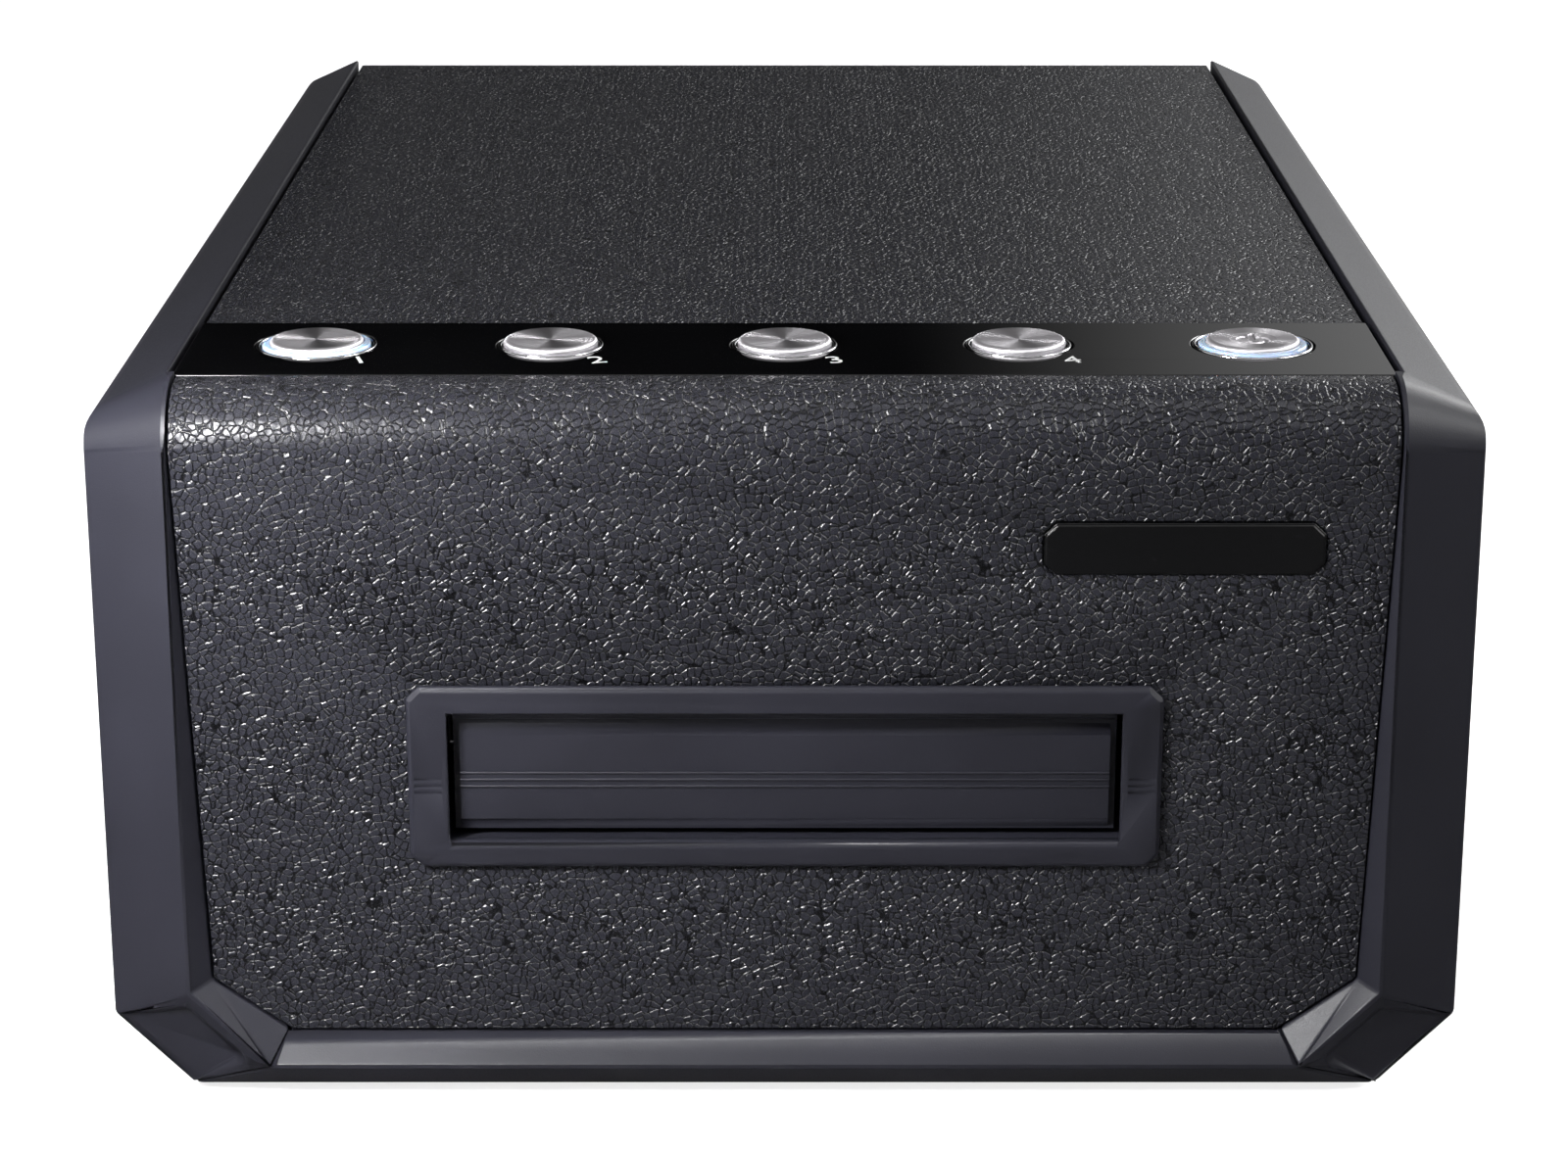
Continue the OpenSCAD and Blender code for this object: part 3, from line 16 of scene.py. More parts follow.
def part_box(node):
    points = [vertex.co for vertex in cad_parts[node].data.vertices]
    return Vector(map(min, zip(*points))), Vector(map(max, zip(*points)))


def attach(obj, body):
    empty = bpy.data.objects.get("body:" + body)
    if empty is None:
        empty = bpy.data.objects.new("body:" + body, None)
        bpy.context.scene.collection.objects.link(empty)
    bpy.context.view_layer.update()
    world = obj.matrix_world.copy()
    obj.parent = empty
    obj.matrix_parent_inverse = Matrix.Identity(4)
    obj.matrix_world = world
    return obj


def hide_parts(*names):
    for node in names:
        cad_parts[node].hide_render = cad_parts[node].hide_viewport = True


bl_info = {
    "name": "Film negative scanner",
    "version": (1, 0, 0),
    "blender": (4, 5, 0),
    "location": "View3D > Sidebar > Film scanner",
    "description": "Builds the finishes of a desktop scanner for film negatives",
    "category": "Object",
}

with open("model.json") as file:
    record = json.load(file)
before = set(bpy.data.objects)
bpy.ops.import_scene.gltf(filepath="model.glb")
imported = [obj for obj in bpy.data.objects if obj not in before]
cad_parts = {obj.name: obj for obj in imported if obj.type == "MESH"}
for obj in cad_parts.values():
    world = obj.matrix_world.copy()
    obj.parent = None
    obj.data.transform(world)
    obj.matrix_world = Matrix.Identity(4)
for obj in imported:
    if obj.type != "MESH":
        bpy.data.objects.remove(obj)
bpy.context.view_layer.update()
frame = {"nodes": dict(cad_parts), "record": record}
RECORD = frame["record"]
NODES = frame["nodes"]
BODY_OF = {node: body for body, nodes in RECORD["behaviour"]["bodies"].items() for node in nodes}
SLOT_OF = {part["node"]: part["material_slot"] for part in RECORD["subparts"]}

BUTTONS = ["eject", "positive", "negative", "custom", "power"]
LIT = ("eject", "power")
NUMBERS = {"eject": "1", "positive": "2", "negative": "3", "custom": "4"}

WHITE = (1, 1, 1, 1)
INK = 0.00001                   # thickness of the printed numbers
POLE = 1e-6                     # radius of the small ring that closes a turned piece at its middle
SIDE_WALL = 0.0008              # side of a plain cap
TOP_WALL = 0.001                # top of a plain cap
LEAN = math.radians(20)         # how far the grain is turned, so that no row of cells lies level
PEBBLE_RANDOM = 0.85            # how far cell centres stray from a lattice
PEBBLE_REACH = 0.9              # cell widths from a centre at which a pebble ends
PEBBLE_RIM = 0.22               # cell widths over which a pebble rises to its top
PEBBLE_BLEND = 0.1              # softness with which the two rims meet
NOISE_LOW, NOISE_HIGH = 0.3, 0.7    # the range in which most of a noise lies
LONG_EDGE = 0.004               # mouldings keep their edges sharp below this length
DIGIT_SHARE = 0.7               # height of a digit in text of size 1
NUMBER_ANGLE = math.radians(-52)    # where a number stands, seen from the middle of its button
NUMBER_TURN = math.radians(15)

LAMPS = (                       # name, place, target and size; the powers are in the settings
    ("low_key", (-0.115, -0.22, 0.145), (-0.06, -0.12, 0.07), (0.05, 0.05)),
    ("high_key", (-0.6, -0.75, 0.72), (0, -0.12, 0.06), (0.09, 0.09)),
    ("overhead", (0, -0.3, 0.95), (0, -0.1, 0.1), (1.1, 0.24)),
    ("right", (0.75, -0.2, 0.62), (0, -0.05, 0.05), (0.4, 0.5)),
    ("rear", (0.85, 0.85, 0.6), (0, 0.1, 0.05), (0.6, 0.5)),
)


# ---------------------------------------------------------------- sizes and colours


class HousingSettings(bpy.types.PropertyGroup):
    """Satin plastic of the frame, the bezel and the slot door."""

    colour: bpy.props.FloatVectorProperty(
        name="Plastic colour", description="Colour of the satin housing plastic",
        subtype="COLOR", size=3, min=0, max=1, default=(0.0145, 0.0145, 0.021))
    edge_radius: bpy.props.FloatProperty(
        name="Edge radius", description="Radius that breaks the moulded edges",
        unit="LENGTH", min=0.0001, max=0.001, default=0.00045)
    roughness: bpy.props.FloatProperty(
        name="Roughness", description="Mean roughness of the satin plastic",
        subtype="FACTOR", min=0, max=1, default=0.42)
    texture_size: bpy.props.FloatProperty(
        name="Texture size", description="Grain size of the spark-eroded surface",
        unit="LENGTH", min=0.00005, max=0.001, default=0.00022)


class GrainSettings(bpy.types.PropertyGroup):
    """Leather grain of the front panel and the top cover."""

    colour: bpy.props.FloatVectorProperty(
        name="Grain colour", description="Colour of the pebbles",
        subtype="COLOR", size=3, min=0, max=1, default=(0.0165, 0.0167, 0.0222))
    pebble: bpy.props.FloatProperty(
        name="Pebble size", description="Mean width of one pebble",
        unit="LENGTH", min=0.0004, max=0.004, default=0.0009)
    depth: bpy.props.FloatProperty(
        name="Groove depth", description="Depth of the grooves between the pebbles",
        unit="LENGTH", min=0, max=0.0005, default=0.00017)
    roughness: bpy.props.FloatProperty(
        name="Roughness", description="Roughness on top of the pebbles",
        subtype="FACTOR", min=0, max=1, default=0.25)


class ButtonSettings(bpy.types.PropertyGroup):
    """Metal caps, trim rings, light rings and the plate round them."""

    cap_radius: bpy.props.FloatProperty(
        name="Cap radius", description="Radius of a metal cap",
        unit="LENGTH", min=0.004, max=0.01, default=0.00655)
    cap_bevel: bpy.props.FloatProperty(
        name="Cap bevel", description="Width of the polished bevel round a cap",
        unit="LENGTH", min=0.0002, max=0.001, default=0.00065)
    ring_gap: bpy.props.FloatProperty(
        name="Ring gap", description="Gap between a button and its trim ring",
        unit="LENGTH", min=0.0001, max=0.001, default=0.0003)
    trim_wall: bpy.props.FloatProperty(
        name="Trim wall", description="Thickness of a trim ring's upper wall",
        unit="LENGTH", min=0.0002, max=0.001, default=0.0005)
    light_width: bpy.props.FloatProperty(
        name="Light ring width", description="Width of a light ring round its cap",
        unit="LENGTH", min=0.0005, max=0.002, default=0.00105)
    cone_depth: bpy.props.FloatProperty(
        name="Cone depth", description="How far the spun top dips towards its centre",
        unit="LENGTH", min=0, max=0.001, default=0.00022)
    metal: bpy.props.FloatVectorProperty(
        name="Metal colour", description="Colour of the spun caps",
        subtype="COLOR", size=3, min=0, max=1, default=(0.67, 0.65, 0.68))
    glow: bpy.props.FloatVectorProperty(
        name="Light ring colour", description="Colour of the translucent rings",
        subtype="COLOR", size=3, min=0, max=1, default=(0.50, 0.62, 0.84))
    number_height: bpy.props.FloatProperty(
        name="Number height", description="Height of the plain numbers beside the buttons",
        unit="LENGTH", min=0.001, max=0.006, default=0.0036)
    number_place: bpy.props.FloatProperty(
        name="Number place", description="Distance of a number from the middle of its button",
        unit="LENGTH", min=0.008, max=0.015, default=0.0112)


class StageSettings(bpy.types.PropertyGroup):
    """Camera, floor and lamps."""

    camera_place: bpy.props.FloatVectorProperty(
        name="Camera place", description="Where the camera stands",
        subtype="XYZ", unit="LENGTH", size=3, default=(-0.0001, -0.6275, 0.2332))
    camera_pitch: bpy.props.FloatProperty(
        name="Camera pitch", description="How far the camera looks down",
        subtype="ANGLE", default=math.radians(17.33))
    lens: bpy.props.FloatProperty(
        name="Lens", description="Focal length on a 36 mm sensor",
        subtype="DISTANCE_CAMERA", min=20, max=300, default=88.86)
    floor_colour: bpy.props.FloatVectorProperty(
        name="Floor colour", description="Colour of the floor and backdrop",
        subtype="COLOR", size=3, min=0, max=1, default=(0.8, 0.8, 0.8))
    floor_glow: bpy.props.FloatProperty(
        name="Floor glow", description="What the floor adds to its own look towards the camera",
        min=0, max=1, default=0.8)
    ambient: bpy.props.FloatProperty(
        name="Ambient light", description="Strength of the light from all around",
        min=0, max=1, default=0.05)
    low_key_power: bpy.props.FloatProperty(
        name="Low key light", description="Power of the lamp low at the front left",
        subtype="POWER", min=0, max=100, default=0.6)
    high_key_power: bpy.props.FloatProperty(
        name="High key light", description="Power of the small lamp at the upper left",
        subtype="POWER", min=0, max=100, default=7)
    overhead_power: bpy.props.FloatProperty(
        name="Overhead light", description="Power of the wide lamp over the scanner",
        subtype="POWER", min=0, max=100, default=1.2)
    right_power: bpy.props.FloatProperty(
        name="Right light", description="Power of the lamp at the right",
        subtype="POWER", min=0, max=100, default=4)
    rear_power: bpy.props.FloatProperty(
        name="Rear light", description="Power of the wide lamp behind the scanner, at the right",
        subtype="POWER", min=0, max=100, default=7)
    floor_card: bpy.props.FloatProperty(
        name="Floor card",
        description="Brightness of the cards on the floor and in front, in reflections only",
        min=0, max=3, default=0.08)
    ceiling_card: bpy.props.FloatProperty(
        name="Ceiling card",
        description="Brightness of the card overhead, in reflections only",
        min=0, max=3, default=0.08)
    back_card_low: bpy.props.FloatProperty(
        name="Back card, foot",
        description="Brightness of the foot of the card behind, in reflections only",
        min=0, max=3, default=1.0)
    back_card_head: bpy.props.FloatProperty(
        name="Back card, head",
        description="Brightness of its head and of the ceiling's rear, in reflections only",
        min=0, max=3, default=0.3)
    back_card_right: bpy.props.FloatProperty(
        name="Back card, right",
        description="Brightness of its right end, in reflections only",
        min=0, max=3, default=0.5)


SETTINGS = {
    "scanner_housing": HousingSettings,
    "scanner_grain": GrainSettings,
    "scanner_buttons": ButtonSettings,
    "scanner_stage": StageSettings,
}


# ---------------------------------------------------------------- materials


class Nodes:
    """Short way to add and join shader nodes in one material."""

    def __init__(self, name):
        """Makes a new material and keeps its shader."""
        self.material = bpy.data.materials.new(name)
        self.material.use_nodes = True
        self.tree = self.material.node_tree
        self.shader = self.tree.nodes["Principled BSDF"]

    def add(self, kind, inputs=None, **values):
        """Adds one node; inputs are numbers for its sockets or outputs to join to them."""
        node = self.tree.nodes.new("ShaderNode" + kind)
        for key, value in values.items():
            setattr(node, key, value)
        for key, value in (inputs or {}).items():
            self.put(node, key, value)
        return node

    def put(self, node, key, value):
        """Sets or joins one socket."""
        if isinstance(value, bpy.types.NodeSocket):
            self.tree.links.new(value, node.inputs[key])
        else:
            node.inputs[key].default_value = value

    def look(self, **values):
        """Sets sockets of the shader; underscores stand for spaces."""
        for key, value in values.items():
            self.put(self.shader, key.replace("_", " "), value)

    def place(self, scale=(1, 1, 1), turn=(0, 0, 0)):
        """Object coordinates through a mapping."""
        coordinates = self.add("TexCoord")
        return self.add("Mapping", {"Vector": coordinates.outputs["Object"], "Scale": scale,
                                    "Rotation": turn}).outputs["Vector"]

    def noise(self, vector, scale, detail=2.0, rough=0.5):
        """Soft noise between 0 and 1."""
        return self.add("TexNoise", {"Vector": vector, "Scale": scale, "Detail": detail,
                                     "Roughness": rough}).outputs["Fac"]

    def span(self, value, low, high, to_low, to_high, smooth=False):
        """Maps a value from one range to another."""
        node = self.add("MapRange", {"Value": value, "From Min": low, "From Max": high,
                                     "To Min": to_low, "To Max": to_high})
        node.interpolation_type = "SMOOTHSTEP" if smooth else "LINEAR"
        return node.outputs["Result"]

    def from_noise(self, noise, low, high):
        """Maps the usual range of a noise to another."""
        return self.span(noise, NOISE_LOW, NOISE_HIGH, low, high)

    def maths(self, operation, a, b=0.0):
        """One maths node."""
        return self.add("Math", {0: a, 1: b}, operation=operation).outputs[0]

    def blend(self, factor, a, b):
        """Mixes two colours."""
        node = self.add("Mix", data_type="RGBA")
        self.put(node, 0, factor)
        for index, value in ((6, a), (7, b)):
            self.put(node, index, value if isinstance(value, bpy.types.NodeSocket) else rgba(value))
        return node.outputs[2]

    def bump(self, height, distance):
        """Bump from a height between 0 and 1 that stands for a depth in metres."""
        return self.add("Bump", {"Height": height, "Distance": distance,
                                 "Strength": 1.0}).outputs["Normal"]

    def emission(self, strength):
        """White glow of a strength that is a number or an output."""
        return self.add("Emission", {"Color": WHITE, "Strength": strength}).outputs[0]


def rgba(colour):
    """A colour with full alpha."""
    return (colour[0], colour[1], colour[2], 1.0)


def scaled(colour, factor):
    """A darker or lighter copy of a colour."""
    return tuple(min(1.0, channel * factor) for channel in colour[:3])


def satin_plastic(name, colour, roughness, texture, specular=0.36):
    """Moulded plastic: even colour with faint clouds, and a fine spark-eroded texture."""
    m = Nodes(name)
    place = m.place()
    clouds = m.noise(place, 60, 3)
    grit = m.noise(place, 1 / texture, 2, 0.6)
    m.look(Base_Color=m.blend(m.from_noise(clouds, 0, 1),
                              scaled(colour, 0.9), scaled(colour, 1.12)),
           Roughness=m.from_noise(grit, roughness - 0.05, roughness + 0.06),
           Specular_IOR_Level=specular,
           Normal=m.bump(grit, texture * 0.09))
    return m.material


def pebbled_plastic(name, colour, pebble, depth, roughness):
    """Leather grain: flat-topped pebbles of mixed size with soft rims and thin dark grooves.

    The cells of pebble_height stand on coordinates that noise has bent. Long waves tilt their tops,
    and a fine skin lies on them. The dark of the grooves is painted shade: the colour falls to a
    tenth of itself down in them, since the bump casts no shadow of its own.
    """
    m = Nodes(name)
    place = m.place(turn=(0, LEAN, 0))
    bend = m.add("TexNoise", {"Vector": place, "Scale": 0.45 / pebble, "Detail": 2.0})
    moved = m.add("VectorMath", {0: bend.outputs["Color"], 1: (0.5, 0.5, 0.5)},
                  operation="SUBTRACT")
    reach = m.add("VectorMath", {0: moved.outputs[0]}, operation="SCALE")
    reach.inputs["Scale"].default_value = pebble * 0.8
    bent = m.add("VectorMath", {0: place, 1: reach.outputs[0]}, operation="ADD").outputs[0]
    height = pebble_height(m, bent, 0.85 / pebble)
    skin = m.noise(place, 7.0 / pebble, 2)
    waves = m.noise(place, 0.8 / pebble, 1)
    total = m.maths("ADD", m.maths("ADD", height, m.maths("MULTIPLY", skin, 0.05)),
                    m.maths("MULTIPLY", waves, 0.6))
    # Painted shade: the colour falls to a tenth of itself in the grooves, where the bump casts no
    # shadow.
    m.look(Base_Color=m.blend(m.span(height, 0.0, 0.6, 0, 1), scaled(colour, 0.1), colour),
           Roughness=m.from_noise(skin, roughness - 0.03, roughness + 0.05),
           Specular_IOR_Level=0.5,
           Normal=m.bump(total, depth))
    return m.material


def pebble_height(m, vector, scale):
    """Height between 0 and 1 of round-shouldered cells.

    F1 and F2 are the distances to the two nearest centres. The distance from the cell's border is
    F2 - F1, cut to a circle round the centre by a soft minimum with R - F1, and the height is a
    smooth step of the result.
    """
    near, far = (m.add("TexVoronoi", {"Vector": vector, "Scale": scale,
                                      "Randomness": PEBBLE_RANDOM},
                       feature=feature).outputs["Distance"] for feature in ("F1", "F2"))
    inside = m.add("Math", {0: m.maths("SUBTRACT", far, near),
                            1: m.maths("SUBTRACT", PEBBLE_REACH, near), 2: PEBBLE_BLEND},
                   operation="SMOOTH_MIN").outputs[0]
    return m.span(inside, 0.0, PEBBLE_RIM, 0, 1, smooth=True)


def polished_black(name, colour, roughness=0.035):
    """Gloss black: a deep colour under a clear face, with faint long waves and polishing haze."""
    m = Nodes(name)
    place = m.place()
    haze = m.noise(place, 900, 2)
    waves = m.noise(place, 45, 1)
    m.look(Base_Color=m.blend(m.from_noise(waves, 0, 1), colour, scaled(colour, 1.4)),
           Roughness=m.from_noise(haze, roughness * 0.6, roughness * 1.5),
           Specular_IOR_Level=0.5, Coat_Weight=0.4, Coat_Roughness=0.02,
           Normal=m.bump(waves, 0.00002))
    return m.material


def spun_metal(name, colour):
    """Metal spun on a lathe: fine rings round the centre, so highlights open like a fan."""
    m = Nodes(name)
    spread = m.add("UVMap", uv_map="spin")
    rings = m.add("Mapping", {"Vector": spread.outputs["UV"],
                              "Scale": (2.0, 260.0, 1.0)}).outputs["Vector"]
    ring = m.noise(rings, 1.0, 3, 0.7)
    m.look(Base_Color=m.blend(ring, scaled(colour, 0.82), scaled(colour, 1.14)), Metallic=1.0,
           Roughness=m.from_noise(ring, 0.34, 0.46), Anisotropic=0.8,
           Tangent=m.add("Tangent", direction_type="UV_MAP", uv_map="spin").outputs["Tangent"],
           Normal=m.bump(ring, 0.000006))
    return m.material


def plain_metal(name, colour, roughness):
    """Bare or plated metal with fine scratches and slightly clouded colour."""
    m = Nodes(name)
    scratches = m.noise(m.place(scale=(1, 1, 6)), 1500, 3, 0.65)
    clouds = m.noise(m.place(), 120, 2)
    m.look(Base_Color=m.blend(clouds, scaled(colour, 0.86), scaled(colour, 1.08)), Metallic=1.0,
           Roughness=m.from_noise(scratches, roughness * 0.75, roughness * 1.35),
           Normal=m.bump(scratches, 0.000004))
    return m.material


def light_ring(name, colour):
    """Translucent ring: pale blue body that carries light sideways, under a smooth face."""
    m = Nodes(name)
    clouds = m.noise(m.place(), 300, 2)
    m.look(Base_Color=m.blend(clouds, scaled(colour, 0.94), scaled(colour, 1.06)),
           Subsurface_Weight=0.6, Subsurface_Radius=(0.4, 0.7, 1.0), Subsurface_Scale=0.0008,
           Roughness=m.from_noise(clouds, 0.12, 0.2), Coat_Weight=0.5, Coat_Roughness=0.08)
    return m.material


def circuit_board(name, colour):
    """Circuit board: solder mask with faint tracks under it."""
    m = Nodes(name)
    place = m.place()
    tracks = m.add("TexBrick", {"Vector": place, "Scale": 420.0, "Mortar Size": 0.03},
                   offset=0.35, squash=1.7).outputs["Fac"]
    m.look(Base_Color=m.blend(tracks, colour, scaled(colour, 1.7)), Roughness=0.32,
           Coat_Weight=0.3, Normal=m.bump(tracks, 0.00003))
    return m.material


def rubber(name, colour):
    """Soft rubber: matt, with fine grit."""
    m = Nodes(name)
    grit = m.noise(m.place(), 3500, 2)
    m.look(Base_Color=m.blend(grit, scaled(colour, 0.8), scaled(colour, 1.3)), Roughness=0.8,
           Specular_IOR_Level=0.3, Normal=m.bump(grit, 0.00004))
    return m.material


def clear_glass(name, colour):
    """Coated lens glass with a very slight haze."""
    m = Nodes(name)
    haze = m.noise(m.place(), 400, 2)
    m.look(Base_Color=rgba(colour), Transmission_Weight=0.92, IOR=1.52,
           Roughness=m.from_noise(haze, 0.0, 0.03))
    return m.material


def printed_white(name):
    """Pad-printed numbers: white ink, slightly uneven."""
    m = Nodes(name)
    ink = m.noise(m.place(), 4000, 2)
    m.look(Base_Color=m.blend(ink, (0.6, 0.6, 0.6), (0.82, 0.82, 0.82)), Roughness=0.5,
           Normal=m.bump(ink, 0.000005))
    return m.material


def card_finish(name, level, foot=0.0, right=0.0, head=0.0, rear=0.0):
    """Glowing card of an even level that rises smoothly to others at its foot, right, head or rear.

    The foot fades towards the sides of the card, and the highest of the levels counts.
    """
    m = Nodes(name)
    place = m.add("SeparateXYZ", {0: m.place()})
    clouds = m.noise(m.place(), 4, 1)
    total = m.from_noise(clouds, level * 0.95, level * 1.05)
    x, y, z = (place.outputs[axis] for axis in "XYZ")
    parts = []
    if foot:
        sides = m.span(m.maths("ABSOLUTE", x), 0.28, 0.48, 1, 0.35, smooth=True)
        parts.append(m.maths("MULTIPLY", sides, m.span(z, 0.05, 0.18, foot, 0, smooth=True)))
    if head:
        parts.append(m.span(z, 0.75, 1.2, 0, head, smooth=True))
    if rear:
        parts.append(m.span(y, 0.1, 0.8, 0, rear, smooth=True))
    if right:
        parts.append(m.span(x, 0.05, 0.45, 0, right, smooth=True))
    for part in parts:
        total = m.maths("MAXIMUM", total, part)
    m.put(m.tree.nodes["Material Output"], "Surface", m.emission(total))
    return m.material


def floor_finish(name, colour, strength):
    """Pale floor that shows near white to the camera and in reflections, and keeps the shadow."""
    m = Nodes(name)
    clouds = m.noise(m.place(), 3, 2)
    m.look(Base_Color=m.blend(clouds, scaled(colour, 0.99), colour), Roughness=0.9,
           Specular_IOR_Level=0.1)
    path = m.add("LightPath").outputs
    seen = m.maths("MAXIMUM", path["Is Camera Ray"],
                   m.maths("MAXIMUM", path["Is Glossy Ray"], path["Is Transmission Ray"]))
    lift = m.add("MixShader", {0: seen, 1: m.emission(0.0), 2: m.emission(strength)})
    total = m.add("AddShader", {0: m.shader.outputs[0], 1: lift.outputs[0]})
    m.put(m.tree.nodes["Material Output"], "Surface", total.outputs[0])
    return m.material


def make_materials():
    """All finishes, by the record's slot name."""
    scene = bpy.context.scene
    housing, grain, button = scene.scanner_housing, scene.scanner_grain, scene.scanner_buttons
    return {
        "frame_plastic": satin_plastic("satin_frame_plastic", tuple(housing.colour),
                                       housing.roughness, housing.texture_size),
        "grain_plastic": pebbled_plastic("pebbled_plastic", tuple(grain.colour), grain.pebble,
                                         grain.depth, grain.roughness),
        "gloss_black": polished_black("polished_black", (0.0022, 0.0022, 0.0025)),
        "black_plastic": satin_plastic("plain_black_plastic", (0.012, 0.012, 0.013), 0.5, 0.0003),
        "spun_metal": spun_metal("spun_cap_metal", tuple(button.metal)),
        "bright_metal": plain_metal("polished_ring_metal", (0.78, 0.78, 0.8), 0.12),
        "steel": plain_metal("plated_steel", (0.56, 0.56, 0.58), 0.32),
        "light_ring": light_ring("light_ring_blue", tuple(button.glow)),
        "rubber": rubber("foot_rubber", (0.012, 0.012, 0.012)),
        "board": circuit_board("board_green", (0.012, 0.09, 0.035)),
        "inner_plastic": satin_plastic("inner_grey_plastic", (0.07, 0.07, 0.075), 0.5, 0.0004),
        "nylon": satin_plastic("natural_nylon", (0.68, 0.66, 0.6), 0.4, 0.0004, 0.5),
        "mirror_glass": plain_metal("front_mirror", (0.9, 0.9, 0.92), 0.02),
        "lens_glass": clear_glass("coated_lens_glass", (0.8, 0.88, 0.95)),
        "diffuser": satin_plastic("opal_diffuser", (0.85, 0.85, 0.83), 0.45, 0.0006, 0.5),
        "print": printed_white("printed_white"),
    }


FINISH = {}


def finish(slot):
    """The material for a slot; all are made on the first call."""
    if not FINISH:
        FINISH.update(make_materials())
    return FINISH[slot]


# ---------------------------------------------------------------- mesh helpers


def new_piece(name, mesh, body, slot_name, material=None):
    """Puts a mesh in the scene as a piece that rides on a body and takes its finish from a slot."""
    piece = bpy.data.objects.new(name, mesh)
    bpy.context.scene.collection.objects.link(piece)
    mesh.materials.clear()
    mesh.materials.append(material or finish(slot_name))
    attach(piece, body)
    return piece


def repaint(node):
    """Gives a CAD node its slot's finish."""
    slots = NODES[node].material_slots
    for slot in slots:
        slot.material = finish(SLOT_OF[node])
    if not slots:
        NODES[node].data.materials.append(finish(SLOT_OF[node]))


def smooth_by_angle(mesh, degrees):
    """Smooth shading, with edges over an angle kept sharp."""
    mesh.shade_smooth()
    mesh.set_sharp_from_angle(angle=math.radians(degrees))


def edge_weights(mesh, degrees, least):
    """1 for each edge that is long enough and turns by more than an angle, and 0 for the others.

    The angle at an edge is the one between the normals of its two faces, found by sorting the loops
    by edge, so that the two faces of each edge come one after the other.
    """
    points = np.empty(len(mesh.vertices) * 3)
    mesh.vertices.foreach_get("co", points)
    ends = np.empty(len(mesh.edges) * 2, dtype=np.int32)
    mesh.edges.foreach_get("vertices", ends)
    ends = points.reshape(-1, 3)[ends.reshape(-1, 2)]
    length = np.linalg.norm(ends[:, 1] - ends[:, 0], axis=1)
    normals = np.empty(len(mesh.polygons) * 3)
    mesh.polygons.foreach_get("normal", normals)
    sides = np.empty(len(mesh.polygons), dtype=np.int32)
    mesh.polygons.foreach_get("loop_total", sides)
    edge = np.empty(len(mesh.loops), dtype=np.int32)
    mesh.loops.foreach_get("edge_index", edge)
    order = np.argsort(edge, kind="stable")
    edge = edge[order]
    normals = np.repeat(normals.reshape(-1, 3), sides, axis=0)[order]
    pair = np.nonzero(edge[1:] == edge[:-1])[0]
    cosine = np.ones(len(length))
    cosine[edge[pair]] = np.einsum("ij,ij->i", normals[pair], normals[pair + 1])
    return ((cosine < math.cos(math.radians(degrees))) & (length >= least)).astype(np.float32)


def eased_copy(node, radius, segments=2, angle=28, least=0.0, clamp=True):
    """A copy of a CAD node with its loose triangles merged and a small radius on its long edges."""
    mesh = NODES[node].data.copy()
    mesh.name = node + "_eased"
    work = bmesh.new()
    work.from_mesh(mesh)
    bmesh.ops.remove_doubles(work, verts=work.verts, dist=2e-6)
    bmesh.ops.dissolve_limit(work, angle_limit=math.radians(0.6), verts=work.verts,
                             edges=work.edges)
    bmesh.ops.connect_verts_concave(work, faces=work.faces)
    work.to_mesh(mesh)
    work.free()
    smooth_by_angle(mesh, angle)
    weights = mesh.attributes.new("bevel_weight_edge", "FLOAT", "EDGE")
    weights.data.foreach_set("value", edge_weights(mesh, angle, least))
    piece = new_piece(mesh.name, mesh, BODY_OF[node], SLOT_OF[node])
    bevel = piece.modifiers.new("eased edges", "BEVEL")
    bevel.width = radius
    bevel.segments = segments
    bevel.limit_method = "WEIGHT"
    bevel.miter_outer = "MITER_ARC"
    bevel.harden_normals = True
    bevel.use_clamp_overlap = clamp
    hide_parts(node)


def grid_faces(rows, columns, closed):
    """Quads of a grid of points; a closed one joins its last column to its first."""
    last = columns if closed else columns - 1
    row, column = np.meshgrid(np.arange(rows - 1), np.arange(last), indexing="ij")
    after = (column + 1) % columns
    a = row * columns + column
    b = row * columns + after
    return np.stack([a, b, b + columns, a + columns], axis=-1).reshape(-1, 4)


def mesh_from(name, points, faces, uv=None):
    """A mesh from arrays of points and quads, with an optional UV for each corner."""
    mesh = bpy.data.meshes.new(name)
    count = len(faces)
    mesh.vertices.add(len(points))
    mesh.vertices.foreach_set("co", np.asarray(points, dtype=np.float32).ravel())
    mesh.loops.add(count * 4)
    mesh.loops.foreach_set("vertex_index", np.asarray(faces, dtype=np.int32).ravel())
    mesh.polygons.add(count)
    mesh.polygons.foreach_set("loop_start", np.arange(0, count * 4, 4, dtype=np.int32))
    if uv is not None:
        layer = mesh.uv_layers.new(name="spin")
        layer.data.foreach_set("uv", np.asarray(uv, dtype=np.float32).ravel())
    mesh.update(calc_edges=True)
    mesh.validate()
    return mesh


